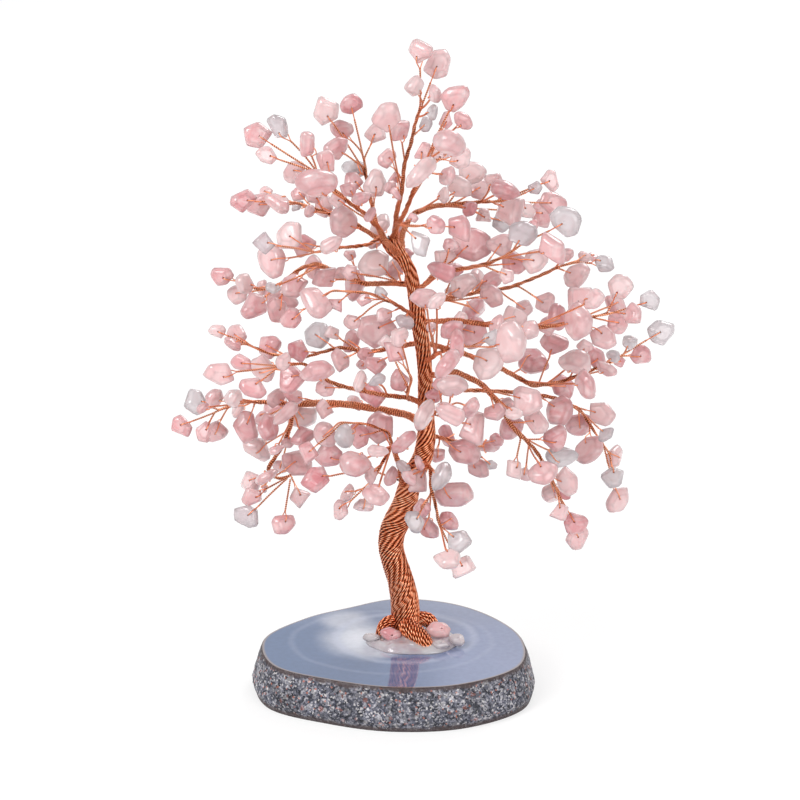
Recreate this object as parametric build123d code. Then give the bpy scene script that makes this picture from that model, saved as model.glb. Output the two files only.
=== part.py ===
from build123d import *
import os
from math import cos, pi, radians, sin, sqrt
from random import Random

os.makedirs("parts", exist_ok=True)

# A wire tree of drilled rose quartz chips on a slice of agate.
# Millimetres, +Z up, origin at the middle of the slice's flat underside,
# the tree's front towards -Y.

# The whole ornament, and the picture in which the tree's places are given.
# A place is a pixel across and down, and a number of depth steps behind the
# trunk's plane, seen by an eye that looks a little downwards.
ornament_height = 198.0
height_pixels = 650
eye_tilt = 19.0
eye_distance = 1100.0
depth_step = 1.7
middle_pixel = (400.0, 400.0)
stand_pixel = (395.0, 686.7)

# Agate slice: outline every 30 degrees as shares of the radius, and how far
# the sawn sides stand out or in at a few heights.
agate_radius = 40.0
agate_thickness = 13.0
agate_outline_shares = (0.93, 0.84, 0.81, 0.78, 0.7, 0.78, 0.96, 1.01, 0.89, 0.9, 0.97, 1.03)
agate_underside_spread = 2.0
agate_belly_height = 3.2
agate_belly_spread = 3.3
agate_shoulder_height = 9.5
agate_shoulder_spread = 1.7
agate_rim_drop = 0.7
agate_rim_spread = 0.6

# Resin pool that glues the foot down: middle, outline shares every 45
# degrees, and steps of height with the share of the outline left there.
resin_middle = (5.2, -2.4)
resin_radius = 12.6
resin_outline_shares = (1.08, 0.98, 0.78, 0.92, 1.1, 0.9, 0.76, 0.94)
resin_height = 2.4
resin_steps_shares = ((0.0, 1.0), (0.42, 0.95), (0.78, 0.78), (1.0, 0.5))

# Copper wire, the twisted pair of it, and how a bundle of pairs packs.
wire_radius = 0.16
pair_radius = 2 * wire_radius
strand_offset = 1.1 * wire_radius
bundle_packing_share = 0.8
thinnest_twig_radius = 0.4
limb_room_radius = 0.9
fork_room = 1.5
knuckle_length_share = 0.2
knuckle_radius_share = 1.06

# Trunk: pixel across, pixel down, depth steps and radius, foot to crown.
trunk_line = (
    (407, 640, 2.1, 4.6), (406, 620, 2.1, 4.3), (404.5, 598, 1.9, 4.1), (400, 578, 1.6, 3.8),
    (394, 561, 1.3, 3.7), (390.3, 546, 1.1, 3.7), (392, 531, 0.9, 3.8), (398, 519, 0.7, 3.9),
    (405, 504, 0.5, 3.6), (409, 486, 0.3, 3.2), (415, 472, 0.2, 3.0), (423, 457, 0, 2.9),
    (426.5, 438, 0, 2.7), (426, 415, 0, 2.4), (425.5, 392, 0, 2.2), (425, 370, 0, 2.1),
    (423, 348, 0, 2.2), (419.5, 325, 0, 2.3), (415.5, 299, 0, 2.1), (411, 272, 0, 1.8),
    (402, 257, 0, 1.9), (392.5, 247, 0, 2.4), (388, 238, 0, 2.3),
)
foot_depth = 0.7
foot_clear = 2.6
socket_clearance = 0.05

# Curled root bundles: x, y, height above the slice, and radius.
root_left_line = ((0.6, 3.4, 6.0, 1.2), (-2.4, 2.4, 6.6, 1.35), (-4.6, 0.6, 4.6, 1.3), (-4.9, -0.6, 2.0, 1.2))
root_front_line = ((3.2, 1.0, 5.4, 1.5), (4.6, -2.4, 4.8, 1.9), (6.6, -4.6, 3.2, 1.9), (8.2, -6.0, 1.7, 1.6))
root_right_line = ((5.4, 4.2, 4.6, 1.3), (8.2, 4.0, 6.2, 1.5), (11.2, 3.4, 5.6, 1.5), (12.6, 2.4, 2.9, 1.3))

# Chips glued round the foot: x, y, height of the middle above the slice,
# length, tilt and turn in degrees.
root_rose_table = ((-1.0, -3.4, 2.6, 5.5, 20, 10), (12.7, -1.8, 3.0, 6.2, 30, -15))
root_clear_table = (
    (18.3, -5.6, 2.1, 4.8, -20, 10), (-6.9, -3.4, 1.9, 4.7, 15, -10), (13.2, -9.0, 1.9, 4.9, 5, 10),
)

# Chips: the drilled hole, the width and thickness as shares of the length,
# the outline's roughness, and how far the flats draw in from the girdle.
hole_clearance = 0.27
least_chip_length = 4.2
chip_swell_share = 1.25
chip_width_shares = (0.78, 0.95)
chip_thickness_shares = (0.4, 0.5)
chip_corner_counts = (4, 5, 5, 6, 6, 7)
chip_corner_turn_share = 0.26
chip_corner_reach_shares = (0.9, 1.0)
chip_flat_shares = (0.58, 0.7)
chip_flat_shift_share = 0.05
chip_girdle_share = 0.13
hole_offset_share = 0.3
hole_wall = 0.3
chip_turn = 34.0

# The loop that each stem throws through its chip.
loop_clearance = 0.16
loop_reach_sizes = (0.9, 1.5)
loop_bend = 0.35
same_radius_share = 0.02
loop_side_room = 0.25

# Stems: how far back along its twig each one leaves, the shortest stem, how
# far chips are scattered in depth, and the room kept between pieces.
stem_lean_share = 0.8
shortest_stem = 1.6
scatter_depth = 7.0
search_step = 1.3
search_count = 50
chip_room = 0.2
wire_room = 0.15
swing_room = 0.3

# Twigs that bend at a friction knuckle: ball, running gap and range.
swing_axis = (0.0, 1.0, 0.0)
ball_radius = 0.95
ball_gap = 0.08
ball_neck = 1.9
swing_steps_shares = (-1.0, -0.5, 0.0, 0.5, 1.0)

random_seed = 16

# Branches that stand fast. Each has its name, its limbs as places, root to
# tip, and its chips as pixel across, pixel down, length in pixels and tilt.
# A chip with a c is clear quartz.
branches = {
    "crown_top": (
        [
            [(390, 243, 0), (396, 215, -1), (402, 190, -3), (404, 165, -3), (411, 143, -3)],
            [(390, 232, 0), (405, 212, -5), (418, 180, -9), (430, 150, -13), (446, 130, -14)],
            [(393, 223, -1), (401, 225, -9), (412, 226, -14)],
        ],
        [
            (400, 130, 24, -65), (387, 117, 32, 80), (387, 158, 20, 80), (394, 177, 14, 0),
            (390, 187, 16, 10), (396, 194, 13, 0), (455, 99, 24, 90), (463, 121, 19, -60),
            (446, 120, 16, 80), (451, 144, 34, 88), (461, 158, 22, 60), (423, 152, 20, 60),
            (440, 153, 24, 80), (447, 176, 18, 0), (421, 172, 36, 15), (413, 218, 12, 0),
            (420, 243, 28, -60, "c"), (436, 225, 19, -70), (460, 227, 26, 85),
        ],
    ),
    "crown_left": (
        [
            [(397, 255, 0), (385, 241, -4), (376, 222, -3), (369, 192, 4), (364, 160, 8), (357, 138, 8)],
            [(381, 228, -3), (365, 214, -6), (349, 203, -8), (335, 190, -9), (322, 178, -9)],
        ],
        [
            (325, 111, 28, 60), (351, 104, 20, -20), (341, 129, 21, -40), (376, 133, 22, 0),
            (336, 148, 26, 30), (353, 169, 25, -15, "c"), (375, 183, 26, 85), (361, 198, 18, 0),
            (326, 161, 22, -60), (318, 182, 38, 30), (353, 182, 20, -20), (349, 190, 18, 0),
            (370, 215, 16, 0), (337, 200, 18, 20),
        ],
    ),
    "crown_wing": (
        [
            [
                (390, 243, 0), (374, 236, 4), (350, 220, 5), (330, 214, 6), (310, 207, 6), (290, 200, 6),
                (275, 196, 6),
            ],
            [(380, 240, 3), (368, 245, -3), (350, 247, -7), (325, 249, -8), (308, 258, -9), (292, 261, -9)],
        ],
        [
            (343, 222, 32, -70), (324, 206, 26, -20), (313, 194, 20, -60), (310, 211, 14, -20),
            (299, 193, 18, 0), (297, 205, 14, 0, "c"), (381, 224, 26, 80), (243, 201, 24, 5),
            (259, 204, 28, 35), (277, 203, 26, 0), (266, 192, 16, 0), (290, 236, 28, 60),
            (303, 246, 28, -30), (330, 245, 25, 0), (264, 243, 22, -30, "c"), (272, 262, 32, -75),
            (375, 245, 12, 0),
        ],
    ),
    "crown_right": (
        [
            [
                (401, 256, 0), (402, 234, 4), (412, 214, 5), (432, 206, 5), (465, 203, 4), (500, 201, 3),
                (525, 196, 2),
            ],
        ],
        [
            (398, 229, 24, -45), (459, 186, 26, 30), (444, 195, 16, 0), (471, 172, 24, -40),
            (480, 189, 22, 25), (494, 181, 20, 25), (505, 190, 28, -5), (470, 209, 18, 0),
            (483, 216, 18, 0),
            (511, 213, 34, -25), (503, 222, 24, 0, "c"), (526, 210, 20, -30), (535, 188, 14, 0, "c"),
            (551, 180, 20, 70), (552, 203, 26, -40), (541, 213, 26, 80),
        ],
    ),
    "upper_right": (
        [
            [
                (414, 290, 0), (440, 272, -5), (468, 268, -8), (490, 263, -10), (510, 253, -11),
                (530, 239, -11),
            ],
        ],
        [
            (567, 221, 30, -20, "c"), (523, 233, 30, 45, "c"), (533, 225, 10, 60), (501, 244, 24, 40),
            (472, 244, 38, 0), (451, 245, 16, 0), (446, 257, 22, 15), (441, 271, 28, -60),
            (515, 263, 28, 0), (535, 262, 25, 70), (552, 249, 34, -80), (507, 276, 16, 60),
        ],
    ),
    "right_rise": (
        [
            [
                (416, 305, 0), (450, 298, 5), (480, 292, 8), (508, 288, 10), (535, 278, 12), (558, 267, 12),
                (578, 262, 12), (592, 263, 12),
            ],
        ],
        [
            (545, 303, 20, 0), (524, 309, 20, -50), (577, 275, 30, 20), (566, 255, 16, 60),
            (463, 285, 26, 70), (453, 291, 16, 0), (478, 281, 26, 70), (492, 281, 22, 0),
            (492, 296, 22, 0), (455, 270, 16, 0), (475, 308, 32, -5), (585, 257, 14, 0),
            (593, 257, 13, 80), (605, 264, 22, -50, "c"),
        ],
    ),
    "right_far": (
        [
            [
                (419, 322, 0), (455, 320, -4), (490, 325, -6), (525, 329, -7), (560, 325, -7), (590, 317, -7),
                (612, 313, -7), (630, 308, -7),
            ],
        ],
        [
            (557, 317, 26, 75), (548, 326, 22, 0), (578, 322, 36, 40), (580, 298, 30, 15),
            (594, 300, 24, 40), (604, 338, 26, -50), (617, 323, 24, -30), (514, 318, 26, 0),
            (497, 325, 20, 60), (529, 330, 22, -30), (461, 320, 16, 80), (475, 333, 30, 35),
            (620, 287, 26, 45), (615, 304, 26, -10), (632, 315, 22, 0), (650, 301, 21, -60, "c"),
        ],
    ),
    "right_sweep": (
        [
            [(423, 345, 0), (460, 352, 6), (500, 368, 9), (533, 386, 11), (562, 382, 11), (592, 370, 10)],
        ],
        [
            (555, 343, 28, 20), (575, 362, 34, 45), (585, 346, 16, 0), (596, 358, 24, -60),
            (607, 369, 21, 15), (563, 387, 28, 0), (585, 384, 30, -35), (533, 361, 34, -80),
        ],
    ),
    "right_front": (
        [
            [(424, 360, 0), (440, 352, -8), (462, 346, -12), (490, 347, -15), (510, 350, -16)],
        ],
        [
            (457, 344, 28, 70), (452, 329, 24, 60), (447, 364, 30, 0), (488, 364, 32, 80),
            (491, 338, 16, 0, "c"), (511, 343, 40, 90), (425, 298, 28, 0), (437, 301, 20, 80),
            (432, 327, 10, 0),
        ],
    ),
    "right_low": (
        [
            [
                (425, 375, 0), (455, 371, -4), (482, 384, -5), (498, 402, -6), (512, 427, -7), (533, 447, -7),
                (545, 465, -7),
            ],
        ],
        [
            (495, 412, 22, 0), (508, 404, 16, 0), (514, 414, 16, 0), (512, 428, 28, -25),
            (527, 400, 32, -45), (537, 422, 26, -40), (556, 439, 28, -60), (561, 457, 32, -20, "c"),
            (543, 473, 27, 0), (514, 470, 22, -50), (525, 474, 18, 80),
        ],
    ),
    "right_drop": (
        [
            [
                (426, 390, 0), (455, 390, 5), (490, 391, 9), (525, 393, 11), (555, 398, 12), (580, 409, 12),
                (600, 440, 11),
            ],
        ],
        [
            (560, 411, 30, 70), (601, 414, 30, -40), (580, 424, 28, 80), (590, 450, 32, -20),
            (606, 434, 18, 60, "c"),
        ],
    ),
    "low_right": (
        [
            [(427, 415, 0), (440, 409, -7), (458, 402, -11), (475, 410, -14)],
            [(427, 437, 0), (450, 440, 6), (475, 445, 10), (490, 450, 12)],
        ],
        [
            (452, 386, 30, 0), (441, 384, 18, 0), (434, 395, 18, 60), (471, 408, 22, 0),
            (449, 413, 32, -15), (424, 414, 30, 80), (475, 427, 34, 80), (447, 436, 26, -30),
            (465, 452, 30, -20), (487, 446, 26, 70), (497, 440, 14, 0), (478, 468, 22, 20),
            (491, 465, 11, 0, "c"), (437, 455, 18, 30),
        ],
    ),
    "low_front": (
        [
            [(424, 459, 0), (431, 468, -5), (431, 490, -8), (436, 506, -8), (438, 520, -8)],
        ],
        [
            (403, 467, 16, 0, "c"), (441, 477, 28, -65, "c"), (453, 495, 38, 12), (422, 508, 18, 80),
            (428, 528, 26, 0), (414, 522, 20, 80, "c"), (419, 463, 16, 0), (418, 481, 24, -80),
            (409, 477, 17, 40),
        ],
    ),
    "left_fork": (
        [
            [
                (409, 487, 0), (399, 464, -2), (392, 446, -3), (389, 432, -4), (366, 424, -6), (340, 422, -7),
                (318, 426, -7),
            ],
            [(392, 446, -3), (384, 460, -7), (374, 479, -9), (360, 492, -9), (350, 499, -9)],
        ],
        [
            (404, 442, 28, 40), (380, 427, 30, -80), (358, 437, 24, 80), (345, 436, 26, 25, "c"),
            (325, 435, 25, 80), (329, 455, 26, -15), (307, 454, 22, 60), (316, 478, 26, 70),
            (355, 463, 34, 80), (370, 473, 20, -80), (377, 451, 20, 0), (347, 494, 20, 10),
            (340, 511, 19, 60), (363, 506, 20, 30), (376, 495, 30, 75), (391, 476, 19, -70),
        ],
    ),
    "left_long": (
        [
            [
                (427, 426, 0), (409, 415, 4), (378, 409, 5), (346, 404, 7), (318, 403, 8), (292, 404, 9),
                (262, 402, 9),
            ],
            [(292, 404, 9), (291, 427, 7), (282, 447, 5), (268, 468, 4)],
        ],
        [
            (268, 427, 28, 40), (355, 402, 20, 0), (324, 410, 20, 60), (303, 417, 30, 10),
            (285, 414, 30, 10), (275, 406, 26, 5), (262, 418, 18, 0),
            (275, 398, 20, 0), (293, 396, 20, 0), (288, 443, 14, 80), (302, 436, 26, 80),
            (257, 449, 30, -30), (276, 450, 16, 0), (281, 467, 18, 40),
        ],
    ),
    "left_mid": (
        [
            [
                (426, 402, 0), (409, 398, -4), (382, 395, -5), (353, 389, -7), (331, 383, -8), (303, 363, -9),
                (278, 367, -10), (262, 374, -10),
            ],
            [(409, 398, -4), (407, 395, -9), (412, 380, -12), (412, 362, -13)],
        ],
        [
            (372, 394, 28, -20), (360, 381, 22, 40), (377, 380, 16, 0, "c"), (325, 388, 20, 0),
            (317, 371, 32, 0), (290, 380, 30, 60), (283, 362, 18, 0), (262, 367, 32, 70),
            (241, 363, 20, 0), (252, 388, 24, 10), (219, 374, 28, 10),
            (399, 380, 24, -45), (394, 351, 24, -50), (400, 337, 22, 0), (386, 342, 18, 0),
        ],
    ),
    "left_high": (
        [
            [
                (422, 343, 0), (398, 347, 4), (368, 352, 7), (340, 347, 8), (322, 352, 9), (302, 358, 9),
                (270, 354, 9), (248, 345, 9), (234, 339, 9),
            ],
        ],
        [
            (268, 346, 30, -25), (298, 350, 26, -20), (316, 335, 30, -40, "c"), (332, 333, 16, 60),
            (351, 341, 24, 80), (340, 361, 22, 80), (362, 365, 12, 0), (365, 354, 16, 0),
            (375, 365, 22, -10), (217, 331, 17, 0), (236, 335, 26, -35), (233, 344, 18, -35),
        ],
    ),
    "upper_left": (
        [
            [(417, 315, 0), (395, 304, -4), (368, 293, -6), (345, 291, -8), (322, 291, -9), (300, 296, -10)],
            [
                (413, 285, 0), (390, 283, 5), (365, 284, 7), (340, 275, 8), (318, 263, 9), (300, 268, 9),
                (285, 281, 9), (270, 288, 9), (256, 291, 9), (241, 287, 9),
            ],
        ],
        [
            (376, 330, 36, -15), (384, 315, 18, 20), (352, 322, 16, 0), (316, 303, 34, -10),
            (336, 305, 16, 0), (291, 318, 22, 40), (277, 310, 26, -50), (280, 299, 36, 5),
            (295, 286, 28, 20), (364, 299, 16, 0), (381, 293, 12, 0, "c"), (375, 263, 30, 55),
            (397, 266, 32, 80), (407, 254, 14, 0), (355, 285, 30, 70), (350, 272, 16, 0),
            (340, 273, 14, 60), (350, 255, 12, 0), (313, 268, 24, 70), (325, 278, 28, 0),
            (405, 322, 18, 0, "c"), (222, 276, 22, 5), (237, 294, 24, -10), (245, 284, 22, -15),
            (254, 306, 28, 75), (262, 287, 16, 60), (273, 288, 15, 0, "c"),
        ],
    ),
}

# Twigs that bend in the picture's plane at the end of a limb: limbs, chips,
# the limb that carries them (branch and number), and the range in degrees.
twigs = {
    "leader": (
        [[(411, 143, -3), (416, 120, -3), (424, 100, -4), (430, 84, -4)]],
        [
            (420, 51, 24, 60), (438, 63, 28, 65), (415, 86, 22, 0), (435, 94, 18, 40),
            (433, 112, 17, 20, "c"), (426, 124, 14, 80, "c"),
        ],
        ("crown_top", 0), 12.0,
    ),
    "crown_left_tip": (
        [[(322, 178, -9), (310, 165, -9), (300, 155, -9)]],
        [
            (257, 135, 27, -15), (278, 126, 25, -60, "c"), (266, 155, 20, 0), (294, 171, 24, 60),
            (307, 143, 27, -40),
        ],
        ("crown_left", 1), 12.0,
    ),
    "right_sweep_tip": (
        [[(592, 370, 10), (612, 361, 10), (632, 349, 10), (648, 339, 10)]],
        [
            (662, 331, 28, 25, "c"), (630, 342, 18, 45, "c"), (641, 355, 22, -25), (613, 356, 14, 0, "c"),
            (620, 361, 14, 0),
        ],
        ("right_sweep", 0), 10.0,
    ),
    "right_low_hanging": (
        [[(545, 465, -7), (556, 488, -7), (566, 506, -7)]],
        [
            (568, 482, 26, -50), (563, 494, 20, 0), (554, 493, 26, -60), (560, 513, 20, 80),
            (575, 524, 24, -50), (578, 537, 26, 60),
        ],
        ("right_low", 0), 12.0,
    ),
    "right_drop_tip": (
        [[(600, 440, 11), (609, 453, 11), (615, 468, 11)]],
        [(614, 457, 22, -70), (614, 478, 25, 0, "c"), (618, 500, 27, 40)],
        ("right_drop", 0), 14.0,
    ),
    "low_drop_tip": (
        [[(438, 520, -8), (443, 533, -8), (449, 547, -8)]],
        [(449, 521, 22, -10), (459, 541, 26, -35, "c"), (448, 559, 26, 85), (462, 569, 26, 10)],
        ("low_front", 0), 14.0,
    ),
    "left_tip_low": (
        [[(262, 402, 9), (240, 401, 9), (225, 408, 9), (203, 416, 9)]],
        [
            (246, 428, 32, 80), (180, 426, 23, 0), (204, 432, 20, 60), (214, 432, 28, 60),
            (195, 402, 26, 90, "c"), (214, 398, 20, 10), (203, 408, 14, 0), (234, 398, 21, 0),
            (238, 409, 20, 0),
        ],
        ("left_long", 0), 10.0,
    ),
    "left_hanging": (
        [
            [(268, 468, 4), (272, 477, 4), (283, 479, 4), (291, 475, 4)],
            [(291, 475, 4), (285, 486, 4), (277, 493, 4)],
        ],
        [
            (297, 463, 30, 20), (251, 482, 26, 40), (266, 477, 24, 15), (251, 497, 21, 0),
            (247, 517, 26, -30, "c"), (283, 524, 24, 15), (300, 497, 24, 75), (264, 487, 10, 80),
        ],
        ("left_long", 1), 12.0,
    ),
}


# Plain arithmetic on places, as tuples of three lengths.
def moved(a, way, distance):
    return (a[0] + way[0] * distance, a[1] + way[1] * distance, a[2] + way[2] * distance)


def span(a, b):
    return (b[0] - a[0], b[1] - a[1], b[2] - a[2])


def dot(a, b):
    return a[0] * b[0] + a[1] * b[1] + a[2] * b[2]


def cross(a, b):
    return (a[1] * b[2] - a[2] * b[1], a[2] * b[0] - a[0] * b[2], a[0] * b[1] - a[1] * b[0])


def size(a):
    return sqrt(a[0] * a[0] + a[1] * a[1] + a[2] * a[2])


def unit(a):
    length = size(a)
    return (a[0] / length, a[1] / length, a[2] / length)


def blend(a, b, share):
    return moved(a, span(a, b), share)


# The picture's own directions: across, up the picture, and away from the eye.
pixel_size = ornament_height * cos(radians(eye_tilt)) / height_pixels
picture_across = (1.0, 0.0, 0.0)
picture_up = (0.0, sin(radians(eye_tilt)), cos(radians(eye_tilt)))
picture_away = (0.0, cos(radians(eye_tilt)), -sin(radians(eye_tilt)))
aim_across = (middle_pixel[0] - stand_pixel[0]) * pixel_size
aim_up = (stand_pixel[1] - middle_pixel[1]) * pixel_size / cos(radians(eye_tilt))
eye = moved((aim_across, 0.0, aim_up), picture_away, -eye_distance)


def place(across, down, depth):
    """The point that shows at a pixel and lies so far behind the trunk's plane."""
    ray = moved((0.0, 0.0, 0.0), picture_away, eye_distance)
    ray = moved(ray, picture_across, (across - middle_pixel[0]) * pixel_size)
    ray = moved(ray, picture_up, (middle_pixel[1] - down) * pixel_size)
    return moved(eye, ray, (depth - eye[1]) / ray[1])


def nearest_gap(a, b, c, d):
    """Least distance between the straight runs a-b and c-d."""
    run, other, between = span(a, b), span(c, d), span(c, a)
    aa, cc, f = dot(run, run), dot(other, other), dot(other, between)
    g, h = dot(run, between), dot(run, other)
    spread = aa * cc - h * h
    s = min(1.0, max(0.0, (h * f - g * cc) / spread)) if spread > 0 else 0.0
    t = (h * s + f) / cc if cc > 0 else 0.0
    if t < 0 or t > 1:
        t = min(1.0, max(0.0, t))
        s = min(1.0, max(0.0, (h * t - g) / aa)) if aa > 0 else 0.0
    return size(span(moved(c, other, t), moved(a, run, s)))


class Rod:
    """A straight run with round ends: the room that a wire or a chip takes up."""

    def __init__(self, start, end, radius, owner, kind, swung=0.0, swings=False):
        self.start, self.end, self.radius = start, end, radius
        self.owner, self.kind = owner, kind
        self.swung, self.swings = swung, swings
        self.middle = blend(start, end, 0.5)
        self.reach = size(span(start, end)) / 2 + radius

    def clears(self, other, room):
        apart = size(span(self.middle, other.middle)) - self.reach - other.reach
        if apart > room:
            return True
        near = nearest_gap(self.start, self.end, other.start, other.end)
        return near - self.radius - other.radius >= room


def turned(point, pivot, angle):
    """A point turned about the front-to-back line through a pivot."""
    x, z = point[0] - pivot[0], point[2] - pivot[2]
    c, s = cos(radians(angle)), sin(radians(angle))
    return (pivot[0] + x * c + z * s, point[1], pivot[2] - x * s + z * c)


class Limb:
    """A bent run of bundled pairs, thinner towards its tip as stems leave it."""

    def __init__(self, points, first, last):
        self.points = points
        self.lengths = [0.0]
        for a, b in zip(points, points[1:]):
            self.lengths.append(self.lengths[-1] + size(span(a, b)))
        self.first, self.last = first, self.lengths[-1] - last
        self.leaving = []

    def at(self, distance):
        for k in range(len(self.points) - 1):
            if distance <= self.lengths[k + 1] or k == len(self.points) - 2:
                run = self.lengths[k + 1] - self.lengths[k]
                return blend(self.points[k], self.points[k + 1], (distance - self.lengths[k]) / run)

    def nearest(self, point):
        """Distance along the limb of its nearest point, and how near that is."""
        best = (0.0, size(span(self.points[0], point)))
        for k in range(len(self.points) - 1):
            run = span(self.points[k], self.points[k + 1])
            share = min(1.0, max(0.0, dot(span(self.points[k], point), run) / dot(run, run)))
            near = size(span(moved(self.points[k], run, share), point))
            if near < best[1]:
                best = (self.lengths[k] + share * size(run), near)
        return best

    def radius(self, distance):
        beyond = sum(1 for leave in self.leaving if leave >= distance)
        return max(thinnest_twig_radius, pair_radius * bundle_packing_share * sqrt(beyond + 1))


trunk_axis = [place(across, down, depth * depth_step) for across, down, depth, radius in trunk_line]
trunk_radii = [radius for across, down, depth, radius in trunk_line]
trunk_axis[0] = (trunk_axis[0][0], trunk_axis[0][1], agate_thickness)


def trunk_seat(towards, start):
    """Where a limb's foot starts inside the trunk, near a place and facing another."""
    best = None
    for k in range(len(trunk_axis) - 1):
        run = span(trunk_axis[k], trunk_axis[k + 1])
        share = min(1.0, max(0.0, dot(span(trunk_axis[k], start), run) / dot(run, run)))
        spot = moved(trunk_axis[k], run, share)
        near = size(span(spot, start))
        if best is None or near < best[0]:
            radius = trunk_radii[k] + (trunk_radii[k + 1] - trunk_radii[k]) * share
            best = (near, spot, unit(run), radius)
    near, spot, along, radius = best
    facing = span(spot, towards)
    facing = unit(moved(facing, along, -dot(facing, along)))
    return moved(spot, facing, max(0.0, radius - foot_depth))


class Chip:
    """One drilled chip on its stem: outline, hole and the loop's corners."""

    def __init__(self, entry, depth, limb, draw):
        self.clear = len(entry) > 4
        self.length = max(least_chip_length, entry[2] * pixel_size * chip_swell_share)
        self.width = self.length * draw.uniform(*chip_width_shares)
        self.thickness = self.width * draw.uniform(*chip_thickness_shares)
        self.middle = place(entry[0], entry[1], depth)
        self.seat_on_limb(limb)
        tilt = radians(entry[3])
        lengthways = moved(moved((0.0, 0.0, 0.0), picture_across, cos(tilt)), picture_up, sin(tilt))
        turn, way = radians(draw.uniform(0.0, chip_turn)), draw.uniform(0.0, 2 * pi)
        facing = moved((0.0, 0.0, 0.0), picture_away, cos(turn))
        facing = moved(facing, picture_across, sin(turn) * cos(way))
        facing = moved(facing, picture_up, sin(turn) * sin(way))
        facing = moved(facing, self.stem_way, -dot(facing, self.stem_way))
        self.face = unit(facing)
        self.long = unit(moved(lengthways, self.face, -dot(lengthways, self.face)))
        self.side = cross(self.face, self.long)
        self.draw_outline(draw)
        self.bend_loop(draw)

    def seat_on_limb(self, limb):
        """Start the stem on its limb, leaning back towards the limb's root."""
        self.limb = limb
        along, near = limb.nearest(self.middle)
        need = self.length / 2 + loop_reach_sizes[1] + shortest_stem
        back = min(limb.last, max(limb.first, along - stem_lean_share * near))
        while size(span(limb.at(back), self.middle)) < need and back > limb.first:
            back = max(limb.first, back - wire_radius)
        self.leave = back
        self.base = limb.at(back)
        self.stem_way = unit(span(self.base, self.middle))

    def draw_outline(self, draw):
        count = draw.choice(chip_corner_counts)
        start = draw.uniform(0.0, 2 * pi)
        self.outline = []
        for k in range(count):
            angle = start + (k + draw.uniform(-1.0, 1.0) * chip_corner_turn_share) * 2 * pi / count
            reach = draw.uniform(*chip_corner_reach_shares)
            self.outline.append((self.length / 2 * reach * cos(angle), self.width / 2 * reach * sin(angle)))
        self.flats = []
        for end in range(2):
            share = draw.uniform(*chip_flat_shares)
            shift = tuple(draw.uniform(-1.0, 1.0) * chip_flat_shift_share * self.length for axis in range(2))
            self.flats.append([(shift[0] + x * share, shift[1] + y * share) for x, y in self.outline])

    def at(self, flat_place, height):
        point = moved(self.middle, self.long, flat_place[0])
        return moved(moved(point, self.side, flat_place[1]), self.face, height)

    def edge_distance(self, loop, start, way):
        """How far an outline reaches from a start in one direction."""
        far = 0.0
        for (ax, ay), (bx, by) in zip(loop, loop[1:] + loop[:1]):
            for shift in (-loop_side_room, 0.0, loop_side_room):
                sx, sy = start[0] - way[1] * shift, start[1] + way[0] * shift
                det = way[0] * (ay - by) - way[1] * (ax - bx)
                if det == 0:
                    continue
                share = (way[0] * (ay - sy) - way[1] * (ax - sx)) / det
                reach = ((ax - sx) * (ay - by) - (ay - sy) * (ax - bx)) / det
                if 0 <= share <= 1:
                    far = max(far, reach)
        return far

    def bend_loop(self, draw):
        way = (-dot(self.stem_way, self.long), -dot(self.stem_way, self.side))
        reach = self.edge_distance(self.outline, (0.0, 0.0), way)
        room = min(self.edge_distance(flat, (0.0, 0.0), way) for flat in self.flats)
        offset = min(reach * hole_offset_share, room - wire_radius - hole_clearance - hole_wall)
        offset = max(0.0, offset)
        self.hole = (way[0] * offset, way[1] * offset)
        outer = self.edge_distance(self.outline, self.hole, way)
        flat = max(self.edge_distance(flat, self.hole, way) for flat in self.flats)
        tip = outer + draw.uniform(*loop_reach_sizes)
        height = self.thickness / 2 + wire_radius + loop_clearance
        shoulder = (self.hole[0] + way[0] * flat, self.hole[1] + way[1] * flat)
        tip_place = (self.hole[0] + way[0] * tip, self.hole[1] + way[1] * tip)
        self.tip = self.at(tip_place, 0.0)
        self.loop = [
            self.at(tip_place, strand_offset), self.at(shoulder, height), self.at(self.hole, height),
            self.at(self.hole, -height), self.at(shoulder, -height), self.at(tip_place, -strand_offset),
        ]

    def rods(self, owner):
        """The chip, its loop and its stem as rods."""
        half = (self.length - self.width) / 2
        ends = [self.at((-half, 0.0), 0.0), self.at((half, 0.0), 0.0)]
        body = Rod(ends[0], ends[1], self.width / 2, owner, "chip")
        wires = [Rod(a, b, wire_radius, owner, "wire") for a, b in zip(self.loop, self.loop[1:])]
        wires.append(Rod(self.base, self.tip, pair_radius, owner, "wire"))
        return body, wires


def turned_rods(rods, swing):
    """Copies of rods over a twig's range, or the rods alone where it stands fast."""
    if swing is None:
        return rods
    pivot, limit = swing
    copies = []
    for rod in rods:
        for share in swing_steps_shares:
            start, end = turned(rod.start, pivot, limit * share), turned(rod.end, pivot, limit * share)
            copies.append(Rod(start, end, rod.radius, rod.owner, rod.kind, share, True))
    return copies


def keeps_room(mine, rod):
    """True where two rods are clear, or may touch because they are wires of one bundle."""
    room = chip_room if mine.kind == rod.kind == "chip" else wire_room
    if mine.owner == rod.owner:
        if mine.kind == rod.kind == "wire" or mine.swung != 0 or rod.swung != 0:
            return True
    elif mine.swings or rod.swings:
        room = swing_room
    return mine.clears(rod, room)


def clear_of_all(chip, owner, swing, laid):
    """True where a chip, its loop and its stem keep their room from what is laid."""
    body, wires = chip.rods(owner)
    centre = blend(chip.base, chip.middle, 0.5)
    reach = size(span(chip.base, chip.middle)) / 2 + chip.length
    if swing:
        reach += size(span(swing[0], chip.middle)) * radians(swing[1])
    near = [rod for rod in laid if size(span(centre, rod.middle)) < reach + rod.reach]
    return all(keeps_room(mine, rod) for mine in turned_rods([body] + wires, swing) for rod in near)


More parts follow.
